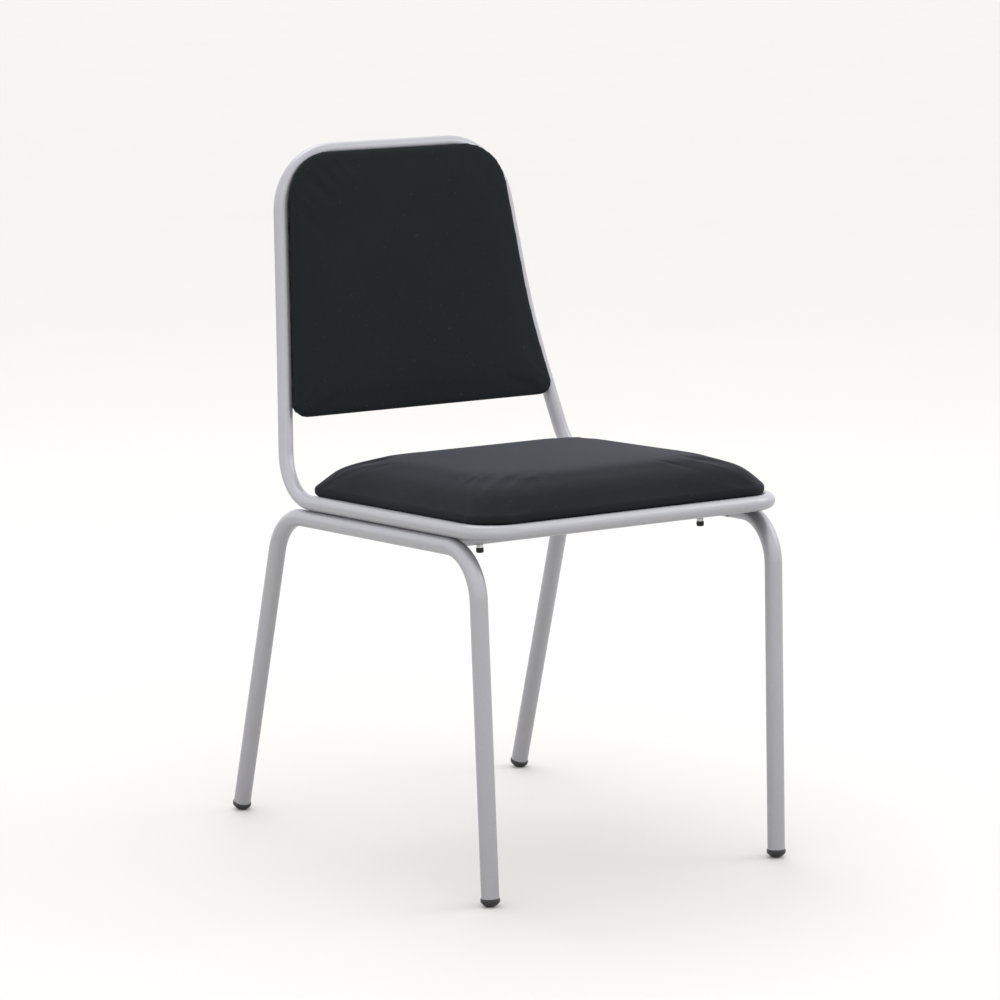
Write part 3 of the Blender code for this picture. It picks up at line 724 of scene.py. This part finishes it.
@dataclass(eq=False)
class Hoop:
    """The endless tube: where its straight runs would meet and how each corner is bent."""

    radius: float = 9.5
    half_width: float = 219.5
    front: Pair = (-292.0, 452.6)
    rear: Pair = (167.8, 430.5)
    lumbar: tuple[float, float, float] = (186.7, 227.3, 629.0)
    top: tuple[float, float, float] = (164.4, 272.0, 859.0)
    bends: tuple[float, float, float, float] = (46.0, 77.0, 1000.0, 84.0)

    def corners(self) -> Ring:
        """The corners from the front right, up and over the hoop, to the front left."""
        side = [Vector((-self.half_width, *self.front)), Vector((-self.half_width, *self.rear)),
                Vector((-self.lumbar[0], *self.lumbar[1:])), Vector((-self.top[0], *self.top[1:]))]
        return side + [Vector((-corner.x, corner.y, corner.z)) for corner in reversed(side)]

    @property
    def tilt(self) -> float:
        """How far the seat rails rise to the front, in radians."""
        return atan2(self.front[1] - self.rear[1], self.rear[0] - self.front[0])

    def on_rail(self, x: float, along: float, height: float) -> Vector:
        """Carries a point of the seat's flat space into the chair's."""
        origin = self.front[1] + self.front[0] * tan(self.tilt)
        return Vector((x, along * cos(self.tilt) + height * sin(self.tilt),
                       origin - along * sin(self.tilt) + height * cos(self.tilt)))

    def half_at(self, height: float) -> float:
        """The hoop's half-width at a height over the floor."""
        upright = self.upright()
        for lower, upper in zip(upright, upright[1:]):
            if height <= upper.z or upper is upright[-1]:
                share = (height - lower.z) / (upper.z - lower.z)
                return -(lower.x + (upper.x - lower.x) * share)
        raise ValueError("no upright")

    @lru_cache(maxsize=None)
    def upright(self) -> Ring:
        """The right upright's centre line, from the rear bend's corner to the top's."""
        return rounded_path(self.corners()[1:4], [self.bends[2]], radians(0.25))

    def up_back(self, along: float) -> tuple[Vector, Vector]:
        """The hoop's side view: the point and upward direction a distance up from the rear bend.

        Args:
            along: the distance in millimetres.

        Returns:
            The point on the middle plane, and the unit direction.
        """
        base, knee, end = (Vector((0, *pair)) for pair in (self.rear, self.lumbar[1:], self.top[1:]))
        below, above = (knee - base).normalized(), (end - knee).normalized()
        turn = below.angle(above)
        bend = self.bends[2]
        first = (knee - base).length - bend * tan(turn / 2)
        if along <= first:
            return base + below * along, below
        swept = min((along - first) / bend, turn)
        direction = (below * sin(turn - swept) + above * sin(swept)) / sin(turn)
        outwards = Vector((0, -direction.z, direction.y))
        centre = base + below * first + Vector((0, -below.z, below.y)) * bend
        spot = centre - outwards * bend
        return spot + direction * (along - first - bend * swept), direction

    def on_back(self, x: float, along: float, depth: float) -> Vector:
        """Carries a point of the back's flat space into the chair's."""
        base, up = self.up_back(along)
        spot = base + Vector((0, -up.z, up.y)) * depth
        return Vector((x, spot.y, spot.z))

    def build(self) -> None:
        """Makes the tube as one endless loop."""
        corners = self.corners()
        start = (corners[0] + corners[-1]) / 2
        bends = [*self.bends, *reversed(self.bends)]
        path = rounded_path([start, *corners, start], bends, BEND_STEP)
        skin = Skin()
        skin.rings(tube_rings(path[:-1], self.radius, TUBE_SIDES, closed=True), closed=True)
        mesh = skin.mesh("loop_tube")
        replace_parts(link("loop_tube", mesh, PAINT, 50.0), "seat_back_loop")


@dataclass
class LegFrames:
    """Two inverted-U leg frames under the seat rails, with their glides and welds."""

    hoop: Hoop
    radius: float = 11.0
    wall: float = 1.2
    touch: float = 0.3
    front_knee: float = -272.2
    rear_knee: float = 180.5
    bends: Pair = (61.0, 71.0)
    front_foot: Pair = (214.3, -294.3)
    rear_foot: Pair = (218.1, 293.9)
    dome: float = 14.0
    glide_radius: float = 12.0
    flange_top: float = 3.2
    flat_angle: float = radians(16)
    plug: float = 20.0
    weld_places: Pair = (-165.0, 75.0)
    weld_inset: float = 8.0
    weld_half: float = 16.0
    weld_radius: float = 2.2
    weld_ripple: float = 2.4
    sides: int = 44

    def corners(self, side: Side) -> Ring:
        """The corners of one frame's centre line, from the front foot to the rear foot."""
        drop = -(self.hoop.radius + self.radius + self.touch)
        knees = [self.hoop.on_rail(self.hoop.half_width, along, drop)
                 for along in (self.front_knee, self.rear_knee)]
        line = [Vector((*self.front_foot, 0)), *knees, Vector((*self.rear_foot, 0))]
        return [Vector((side.value * corner.x, corner.y, corner.z)) for corner in line]

    def build(self) -> None:
        """Makes both frames."""
        rise = self.dome * cos(self.flat_angle)
        for side in Side:
            corners = self.corners(side)
            ends = []
            halves = (("front", corners[0], corners[1]), ("rear", corners[3], corners[2]))
            for end, foot, knee in halves:
                upwards = (knee - foot).normalized()
                centre = foot + upwards * (rise / upwards.z)
                ends.append(centre + upwards * (self.touch - self.flange_top))
                self.glide(f"{end}_glide_{side.word}", centre, upwards)
            path = rounded_path([ends[0], corners[1], corners[2], ends[1]], self.bends, BEND_STEP)
            outer = tube_rings(path, self.radius, self.sides)
            inner = tube_rings(path, self.radius - self.wall, self.sides)
            skin = Skin()
            skin.rings(outer + inner[::-1], closed=True)
            name = f"leg_tube_{side.word}"
            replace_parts(link(name, skin.mesh(name), PAINT, 50.0), f"leg_frame_{side.word}")
            for along, end in zip(self.weld_places, ("front", "rear")):
                self.rail_weld(side, end, along)

    def glide(self, node: str, centre: Vector, upwards: Vector) -> None:
        """Makes a glide: a domed foot with a level flat, a rounded flange and a ribbed plug."""
        floor_axis = Vector((0, 0, 1))
        rings = []
        widest = sqrt(self.dome ** 2 - self.glide_radius ** 2)
        steep = acos(widest / self.dome)
        steps = 9
        for k in range(steps + 1):
            share = k / steps
            angle = self.flat_angle + (steep - self.flat_angle) * share
            axis = (floor_axis * (1 - share) + upwards * share).normalized()
            radius, height = self.dome * sin(angle), -self.dome * cos(angle)
            rings.append(ring_around(centre, axis, radius, height, GLIDE_SIDES))
        fillet, top = 1.0, -self.flange_top
        for k in range(6):
            angle = pi / 2 * k / 5
            rings.append(ring_around(centre, upwards, self.glide_radius - fillet * (1 - cos(angle)),
                                     top - fillet * (1 - sin(angle)), GLIDE_SIDES))
        plug = self.radius - self.wall - self.touch
        profile = [(plug - 0.8, top)]
        for rib in range(3):
            base = top + 2.0 + rib * self.plug / 3.5
            profile += [(plug - 0.8, base), (plug, base + 0.6), (plug - 0.8, base + 3.2)]
        profile.append((plug - 2.0, self.plug + top))
        rings += [ring_around(centre, upwards, radius, height, GLIDE_SIDES)
                  for radius, height in profile]
        skin = Skin()
        skin.rings(rings, capped=True)
        name = node.replace("glide", "foot_glide")
        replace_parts(link(name, skin.mesh(name), PLASTIC, 42.0), node)

    def rail_weld(self, side: Side, end: str, along: float) -> None:
        """Makes the bead in the groove between a seat rail and its leg frame, inside."""
        x = side.value * (self.hoop.half_width - self.weld_inset)
        path = [self.hoop.on_rail(x, along + self.weld_half * share, -self.hoop.radius)
                for share in (-1, 0, 1)]
        name = f"rail_bead_{end}_{side.word}"
        bead = weld_bead(name, path, self.weld_radius, self.weld_ripple)
        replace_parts(bead, f"rail_weld_{end}_{side.word}")


@dataclass
class Crossbars:
    """The two bars that carry the seat, with their beads, and the bumpers under them."""

    hoop: Hoop
    radius: float = 8.0
    wall: float = 1.2
    drop: float = 18.4
    half: float = 208.2
    places: Pair = (-194.0, 50.0)
    bolt_half: float = 164.5
    nut_height: float = 3.2
    bumper_radius: float = 4.7
    bumper_height: float = 6.2
    bolt_radius: float = 2.7
    hole_radius: float = 3.2
    touch: float = 0.3
    bead_inset: float = 1.7
    bead_radius: float = 1.2
    bead_ripple: float = 1.8
    edge_fillet: float = 0.8
    nose_fillet: float = 1.8

    def build(self) -> None:
        """Makes both bars and all that hangs from them."""
        for along, end in zip(self.places, ("front", "rear")):
            self.bar(end, along)
            for side in Side:
                self.bead(side, end, along)
                self.bumper(side, end, along)

    def bar(self, end: str, along: float) -> None:
        """Makes one bar, drilled through for its two bolts."""
        path = [Vector((x, along, -self.drop)) for x in (-self.half, self.half)]
        outer = tube_rings(path, self.radius, TUBE_SIDES)
        inner = tube_rings(path, self.radius - self.wall, TUBE_SIDES)
        skin = Skin()
        skin.rings(outer + inner[::-1], closed=True)
        drills = []
        for side in Side:
            drill = Skin()
            middle = Vector((side.value * self.bolt_half, along, -self.drop))
            drill.rings([ring_around(middle, Vector((0, 0, 1)), self.hole_radius, height, 24)
                         for height in (-1.5 * self.radius, 1.5 * self.radius)], capped=True)
            drills.append(drill.mesh("drill"))
        name = f"seat_bar_{end}"
        mesh = applied(name, skin.mesh(name), lambda bar: cut(bar, drills))
        for vert in mesh.vertices:
            vert.co = self.hoop.on_rail(*(vert.co / MM)) * MM
        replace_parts(link(name, mesh, PAINT), f"crossbar_{end}")

    def bead(self, side: Side, end: str, along: float) -> None:
        """Makes the bead under one end of a bar, where it meets the leg frame."""
        reach = self.radius + self.touch + self.bead_radius
        x = side.value * (self.half - self.bead_inset)
        path = []
        for angle in range(200, 341, 7):
            off, height = reach * cos(radians(angle)), reach * sin(radians(angle))
            path.append(self.hoop.on_rail(x, along + off, -self.drop + height))
        name = f"bar_bead_{end}_{side.word}"
        bead = weld_bead(name, path, self.bead_radius, self.bead_ripple)
        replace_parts(bead, f"crossbar_weld_{end}_{side.word}")

    def bumper(self, side: Side, end: str, along: float) -> None:
        """Makes the rubber bumper on the end of a seat bolt."""
        top = -self.drop - self.radius - self.nut_height - 2 * self.touch
        bottom = top - self.bumper_height
        bore = self.bolt_radius + self.touch
        middle = Vector((side.value * self.bolt_half, along, 0))
        edge, nose = [], []
        for k in range(5, -1, -1):
            angle = pi / 2 * k / 5
            edge.append((self.bumper_radius - self.edge_fillet * (1 - cos(angle)),
                         top - self.edge_fillet * (1 - sin(angle))))
        for k in range(9):
            angle = pi / 2 * k / 8
            nose.append((self.bumper_radius - self.nose_fillet * (1 - cos(angle)),
                         bottom + self.nose_fillet * (1 - sin(angle))))
        blind = top - 0.6 * self.bumper_height - self.touch
        profile = [(0.8, blind), (bore, blind), (bore, top), *edge, *nose, (1.2, bottom)]
        skin = Skin()
        skin.rings([ring_around(middle, Vector((0, 0, 1)), radius, height, TUBE_SIDES)
                    for radius, height in profile], capped=True)
        name = f"rubber_bumper_{end}_{side.word}"
        mesh = skin.mesh(name, lambda point: self.hoop.on_rail(*point))
        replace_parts(link(name, mesh, RUBBER, 45.0), f"stacking_bumper_{end}_{side.word}")


CUTTERS: list[bpy.types.Object] = []


def cut(piece: bpy.types.Object, cutters: Sequence[bpy.types.Mesh]) -> None:
    """Adds exact cuts to a temporary object; the cutters' objects go when it is evaluated."""
    for mesh in cutters:
        cutter = bpy.data.objects.new("cutter", mesh)
        bpy.context.scene.collection.objects.link(cutter)
        cutter.hide_render = True
        CUTTERS.append(cutter)
        modifier = piece.modifiers.new("cut", "BOOLEAN")
        modifier.operation = "DIFFERENCE"
        modifier.solver = "EXACT"
        modifier.object = cutter


def clear_cutters() -> None:
    """Removes the cutters that have done their work."""
    while CUTTERS:
        bpy.data.objects.remove(CUTTERS.pop(), do_unlink=True)


# ------------------------------------------------------------------ upholstery


CROWN_SHARES = (0.985, 0.97, 0.95, 0.92, 0.88, 0.84, 0.78, 0.7, 0.58, 0.45, 0.3, 0.15)
COVER_CLOTH = {"quality": 5, "mass": 0.3, "tension_stiffness": 25.0, "compression_stiffness": 25.0,
               "shear_stiffness": 8.0, "bending_stiffness": 1.5, "use_pressure": True}


@dataclass
class Pad:
    """A foam pad under fabric: its profile, and how far the cloth swells off the cut foam."""

    name: str
    outline: Callable[[float], Outline]
    place: Callable[[Vector], Vector]
    finish: FabricFinish
    replaced: tuple[str, ...]
    bottom: float                    # the turned-in cover's level, under the board
    board: Pair                      # the board's lower and upper level
    board_inset: float
    centre: float
    tube_gap: float                  # from the outline to the tube's centre line
    swell: float
    edge: float
    roll: float
    crown: float
    power: float
    rounds: int                      # times that the top is evened out
    dome: float = 0.0                # share of the crown that rises evenly to the middle
    rim_level: float = 20.0          # the top is free above this level
    rim_fade: float = 10.0
    under: float = 0.42              # the edge's shares under and over its widest line
    over: float = 0.58
    flare: float = 1.6               # the turned-in edge stands out, clear of the board's edge
    tube_radius: float = 9.5
    lie: float = 0.8                 # cloth and foam over the tube
    lip: float = 18.0                # how far the cover is turned in under the board
    cell: float = 3.5
    puff: float = 3.0                # the most that the cloth may swell
    pressure: float = 4.0
    steps: int = 20
    still_fade: float = 8.0
    fill: float = 0.8
    still: float = 14.0              # below this level the cloth is held by frame and staples

    def profile(self) -> list[Ring]:
        """The cut foam's rings, from the bottom to the crown."""
        reach = self.tube_radius + self.lie
        rings = [(self.outline(-self.flare), self.bottom), (self.outline(0.0), 0.0)]
        limit = acos(min((self.tube_gap - self.swell) / reach, 1.0))
        for k in range(1, 8):
            angle = limit * k / 7
            inset = min(0.0, reach * cos(angle) - self.tube_gap)
            rings.append((self.outline(inset), reach * sin(angle)))
        foot = max(rings[-1][1], reach) + 1.2
        middle = foot + self.under * self.edge
        for degrees in range(-30, 86, 10):
            angle = radians(degrees)
            rise = (self.over if degrees > 0 else self.under) * self.edge
            inset = self.roll * (1 - cos(angle)) - self.swell
            rings.append((self.outline(inset), middle + rise * sin(angle)))
        rim, top = rings[-1]
        made = [[Vector((x, y, level)) for x, y in outline] for outline, level in rings]
        for share in CROWN_SHARES:
            full = 1 - (1 - self.dome) * share ** self.power - self.dome * share ** 2
            level = top + (self.crown - self.puff) * full
            made.append([Vector((x * share, self.centre + (y - self.centre) * share, level))
                         for x, y in rim])
        return made

    def evened(self, mesh: bpy.types.Mesh) -> bpy.types.Mesh:
        """Evens the crowned top out, so that no ridge runs in from the pad's corners.

        Args:
            mesh: the cut foam.

        Returns:
            The same mesh, its points below the rim unmoved.
        """
        points = np.empty(3 * len(mesh.vertices))
        mesh.vertices.foreach_get("co", points)
        points = points.reshape(-1, 3)
        ends = np.empty(2 * len(mesh.edges), dtype=np.int32)
        mesh.edges.foreach_get("vertices", ends)
        near, far = ends.reshape(-1, 2).T
        valence = np.bincount(ends, minlength=len(points))[:, None]
        free = 0.5 * np.clip((points[:, 2:] / MM - self.rim_level) / self.rim_fade, 0.0, 1.0)
        for _ in range(self.rounds):
            total = np.zeros_like(points)
            np.add.at(total, near, points[far])
            np.add.at(total, far, points[near])
            points += free * (total / valence - points)
        mesh.vertices.foreach_set("co", points.ravel())
        return mesh

    def body(self) -> bpy.types.Mesh:
        """The cut foam as an even net of quads."""
        skin = Skin()
        skin.rings(self.profile(), capped=True)

        def dress(carrier: bpy.types.Object) -> None:
            """Remeshes the shape in even cells and eases their steps."""
            remesh = carrier.modifiers.new("cells", "REMESH")
            remesh.mode = "VOXEL"
            remesh.voxel_size = self.cell * MM
            ease = carrier.modifiers.new("ease", "LAPLACIANSMOOTH")
            ease.iterations = 2
            ease.lambda_factor = 0.4

        return self.evened(applied(self.name + "_foam", skin.mesh(self.name + "_cut"), dress))

    def swollen(self, foam: bpy.types.Mesh) -> bpy.types.Mesh:
        """The foam's skin after its cloth has been blown up against its seams and staples.

        Args:
            foam: the cut foam.

        Returns:
            The same mesh with its free points moved, by puff at most.
        """
        scene = bpy.context.scene
        carrier = bpy.data.objects.new(self.name + "_cloth", foam)
        scene.collection.objects.link(carrier)
        held = carrier.vertex_groups.new(name="held")
        for vert in foam.vertices:
            free = min(max((vert.co.z / MM - self.still) / self.still_fade, 0.0), 1.0)
            held.add([vert.index], 1.0 - free, "REPLACE")
        cloth = carrier.modifiers.new("cloth", "CLOTH")
        for key, value in COVER_CLOTH.items():
            setattr(cloth.settings, key, value)
        cloth.settings.uniform_pressure_force = self.pressure
        cloth.settings.effector_weights.gravity = 0.0
        cloth.settings.vertex_group_mass = held.name
        cloth.collision_settings.use_collision = False
        for step in range(1, self.steps + 1):
            scene.frame_set(step)
        seen = carrier.evaluated_get(bpy.context.evaluated_depsgraph_get())
        blown = [vert.co.copy() for vert in seen.data.vertices]
        scene.frame_set(1)
        bpy.data.objects.remove(carrier, do_unlink=True)
        limit = self.puff * MM
        for vert, target in zip(foam.vertices, blown):
            move = target - vert.co
            if move.length > 1e-7:
                vert.co += move.normalized() * limit * (1 - exp(-move.length / limit))
        return foam

    def prism(self, inset: float, low: float, high: float) -> bpy.types.Mesh:
        """A cutter with the pad's outline."""
        skin = Skin()
        skin.rings([[Vector((x, y, level)) for x, y in self.outline(inset)] for level in (low, high)],
                   capped=True)
        return skin.mesh("prism")

    def build(self) -> None:
        """Makes the pad: cut foam, swollen cloth, and the recess that holds its board."""
        cloth = self.swollen(self.body())
        room = 0.3

        def dress(carrier: bpy.types.Object) -> None:
            """Rounds the cloth and cuts out the board and the open underside."""
            fine = carrier.modifiers.new("fine", "SUBSURF")
            fine.levels = fine.render_levels = 1
            low, high = self.board
            cut(carrier, [self.prism(self.board_inset - room, low - room, high + room),
                          self.prism(self.lip, self.bottom - 6.0, low + 1.0)])

        mesh = applied(self.name, cloth, dress)
        clear_cutters()
        for vert in mesh.vertices:
            vert.co = self.place(vert.co / MM) * MM
        piece = link(self.name, mesh, self.finish, 50.0)
        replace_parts(piece, *self.replaced)


OUTLINE_STEP = radians(6)


@dataclass
class Seat:
    """The upholstered seat between the rails."""

    hoop: Hoop
    half: float = 208.6
    front: float = -280.0
    rear: float = 112.0
    front_corner: float = 36.0
    rear_corner: float = 12.0
    taper: float = 2.0               # how much narrower each side is at the rear
    staple_inset: float = 12.5
    staple_level: float = -10.15
    staple_pitch: float = 38.0

    def outline(self, inset: float) -> Outline:
        """The seat's plan outline inside the loop, drawn in by an inset."""
        front_half, rear_half = self.half - inset, self.half - self.taper - inset
        front, rear = self.front + inset, self.rear - inset
        radii = [max(corner - inset, 3.0) for corner in (self.front_corner, self.rear_corner)]
        corners = [Vector((-front_half, front, 0)), Vector((-rear_half, rear, 0)),
                   Vector((rear_half, rear, 0)), Vector((front_half, front, 0))]
        middle = Vector((0, front, 0))
        bends = (radii[0], radii[1], radii[1], radii[0])
        path = rounded_path([middle, *corners, middle], bends, OUTLINE_STEP)
        return [(point.x, point.y) for point in path[1:-1]]

    def build(self) -> None:
        """Makes the pad and the staples round its lining."""
        pad = Pad("seat_pad", self.outline, lambda point: self.hoop.on_rail(*point), SEAT_FABRIC,
                  ("seat_cover", "seat_foam"), bottom=-9.2, board=(-7.7, 4.3), board_inset=1.8,
                  centre=0.5 * (self.front + self.rear), tube_gap=10.9, swell=9.0, edge=12.2, roll=1.5,
                  crown=38.4, power=16.0, rounds=140, dome=0.2)
        pad.build()
        line = [self.hoop.on_rail(x, y, self.staple_level)
                for x, y in spread(self.outline(self.staple_inset), 6.0)]
        up = Vector((0, sin(self.hoop.tilt), cos(self.hoop.tilt)))
        staples("lining_staples", line, up, self.staple_pitch)


def spread(outline: Outline, pitch: float) -> Outline:
    """A closed outline with points no further apart than a pitch."""
    made = []
    for (x, y), (next_x, next_y) in zip(outline, outline[1:] + outline[:1]):
        count = max(1, int(sqrt((next_x - x) ** 2 + (next_y - y) ** 2) / pitch))
        made += [(x + (next_x - x) * k / count, y + (next_y - y) * k / count) for k in range(count)]
    return made


@dataclass(eq=False)
class Back:
    """The upholstered back, set into the hoop, and the panel behind it."""

    hoop: Hoop
    bottom: float = 106.5
    top: float = 440.5
    side_gap: float = 3.2
    top_gap: float = 0.9
    bottom_corner: float = 10.0
    top_corner: float = 72.0
    corner_fill: float = 1.5
    knee: int = 265                  # above it the outline runs straight to its top corner
    panel_inset: float = 5.0
    panel: Pair = (-6.8, -8.3)       # the panel's front and rear level
    panel_strips: int = 40           # bent along the hoop's curve in this many strips

    @lru_cache(maxsize=None)
    def half(self, along: float) -> float:
        """The hoop's half-width a distance up its side view."""
        return self.hoop.half_at(self.hoop.up_back(along)[0].z)

    def outline(self, inset: float) -> Outline:
        """The back's outline in the hoop's flat space, drawn in by an inset."""
        edge = self.hoop.radius + self.side_gap + inset
        bottom, top = self.bottom + inset, self.top - self.hoop.radius - self.top_gap - inset
        top_radius = self.top_corner - (inset if inset > 0 else -inset * self.corner_fill)
        bottom_radius = max(self.bottom_corner - inset, 4.0)
        rows = range(140, self.knee, 5)
        lower, upper = (Vector((self.half(level) - edge, level, 0)) for level in (bottom, top))
        first, last = (Vector((self.half(row) - edge, row, 0)) for row in (rows[0], self.knee))
        half = rounded_path([Vector((0, bottom, 0)), lower, first], [bottom_radius], OUTLINE_STEP)[1:]
        half += [Vector((self.half(row) - edge, row, 0)) for row in rows[1:]]
        half += rounded_path([last, upper, Vector((0, top, 0))], [top_radius], radians(4))[:-1]
        right = [(-point.x, point.y) for point in half]
        return right + [(point.x, point.y) for point in reversed(half)]

    def build(self) -> None:
        """Makes the pad and the rear panel."""
        pad = Pad("back_pad", self.outline, lambda point: self.hoop.on_back(*point), BACK_FABRIC,
                  ("back_cover", "back_foam"), bottom=-6.5, board=(-5.0, 4.0), board_inset=1.8,
                  centre=0.5 * (self.bottom + self.top), tube_gap=10.4, swell=8.0, edge=12.5, roll=11.0,
                  crown=6.0, power=2.0, rounds=4, puff=2.0)
        pad.build()
        self.rear_panel()

    def rear_panel(self) -> None:
        """Makes the thin panel behind the board, with softly rounded edges."""
        near, far = self.panel
        skin = Skin()
        levels = [(0.0, near), (0.0, far + 0.8), (0.2, far + 0.35), (0.8, far)]
        rings = [[Vector((x, y, level)) for x, y in self.outline(self.panel_inset + more)]
                 for more, level in levels]
        skin.rings(rings, capped=True)
        for k in range(1, self.panel_strips):
            geometry = skin.work.verts[:] + skin.work.edges[:] + skin.work.faces[:]
            bmesh.ops.bisect_plane(skin.work, geom=geometry, plane_co=(0, self.bottom + 8.4 * k, 0),
                                   plane_no=(0, 1, 0))
        mesh = skin.mesh("rear_panel", lambda point: self.hoop.on_back(*point))
        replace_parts(link("rear_panel", mesh, LINING, 60.0), "back_rear_panel")


# ------------------------------------------------------------------ carried-over parts


def dress_hardware() -> None:
    """Gives the carried-over nodes their finishes."""
    finishes: dict[str, Finish] = {
        "seat_bolt": ZINC, "seat_nut": ZINC, "back_screw": ZINC, "back_tee_nut": ZINC,
        "loop_joint_sleeve": ZINC, "back_lug": PAINT, "seat_board": PLYWOOD, "back_board": PLYWOOD,
        "seat_dust_cover": LINING,
    }
    for node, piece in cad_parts.items():
        for start, finish in finishes.items():
            if node.startswith(start):
                for place in piece.material_slots:
                    place.material = material_of(finish)
                LOG.info("%s: %s", node, finish.slot.value)


# ------------------------------------------------------------------ room, light and camera


@dataclass
class Studio:
    """Pale floor, soft lights and the camera."""

    floor_half: float = 60.0
    floor_colour: Colour = (0.585, 0.57, 0.545)
    camera_place: tuple[float, float, float] = (-3.0309, -4.5766, 1.3905)
    camera_fall: float = 9.906       # degrees under the horizon
    camera_turn: float = -33.461
    lens: float = 158.6
    sensor: float = 36.0
    world: float = 1.55
    target: tuple[float, float, float] = (0.0, 0.0, 0.45)
    lights: tuple[tuple[tuple[float, float, float], float, float], ...] = (
        ((-1.6, -2.6, 3.4), 2.6, 10.0),
        ((2.8, -1.2, 2.6), 2.0, 22.0),
        ((0.4, 1.8, 3.4), 2.4, 26.0),
    )                                # place, size in metres and power in watts

    def floor(self) -> None:
        """Makes the floor: plain, matt and pale."""
        work = bmesh.new()
        bmesh.ops.create_grid(work, x_segments=2, y_segments=2, size=self.floor_half)
        mesh = bpy.data.meshes.new("floor")
        work.to_mesh(mesh)
        work.free()
        wiring = Wiring("pale_floor", self.floor_colour, 0.7)
        wiring.set(Roughness=wiring.between(wiring.noise(3.0, 3.0), 0.62, 0.78),
                   Specular_IOR_Level=0.3)
        mesh.materials.append(wiring.material)
        floor = bpy.data.objects.new("floor", mesh)
        bpy.context.scene.collection.objects.link(floor)

    def light(self) -> None:
        """Makes the sky and the soft boxes."""
        scene = bpy.context.scene
        scene.world = bpy.data.worlds.new("studio")
        scene.world.use_nodes = True
        sky = scene.world.node_tree.nodes["Background"]
        sky.inputs["Color"].default_value = (0.97, 0.98, 1.0, 1.0)
        sky.inputs["Strength"].default_value = self.world
        for number, (place, size, power) in enumerate(self.lights):
            lamp = bpy.data.lights.new(f"soft_box_{number}", "AREA")
            lamp.shape = "DISK"
            lamp.size = size
            lamp.energy = power
            held = bpy.data.objects.new(lamp.name, lamp)
            held.location = place
            held.rotation_mode = "QUATERNION"
            aim = Vector(self.target) - Vector(place)
            held.rotation_quaternion = aim.to_track_quat("-Z", "Y")
            scene.collection.objects.link(held)
        scene.view_settings.view_transform = "Standard"

    def camera(self) -> None:
        """Makes the camera."""
        made = bpy.data.cameras.new("camera")
        made.lens = self.lens
        made.sensor_width = self.sensor
        made.clip_end = 200.0
        camera = bpy.data.objects.new("camera", made)
        camera.location = self.camera_place
        camera.rotation_euler = (radians(90 - self.camera_fall), 0.0, radians(self.camera_turn))
        bpy.context.scene.collection.objects.link(camera)
        bpy.context.scene.camera = camera

    def build(self) -> None:
        """Makes the whole set."""
        self.camera()
        self.floor()
        self.light()


def main() -> None:
    """Builds the chair's looks in order."""
    Studio().build()
    hoop = Hoop()
    hoop.build()
    LegFrames(hoop).build()
    Crossbars(hoop).build()
    clear_cutters()
    Seat(hoop).build()
    Back(hoop).build()
    dress_hardware()


if __name__ == "__main__":
    main()
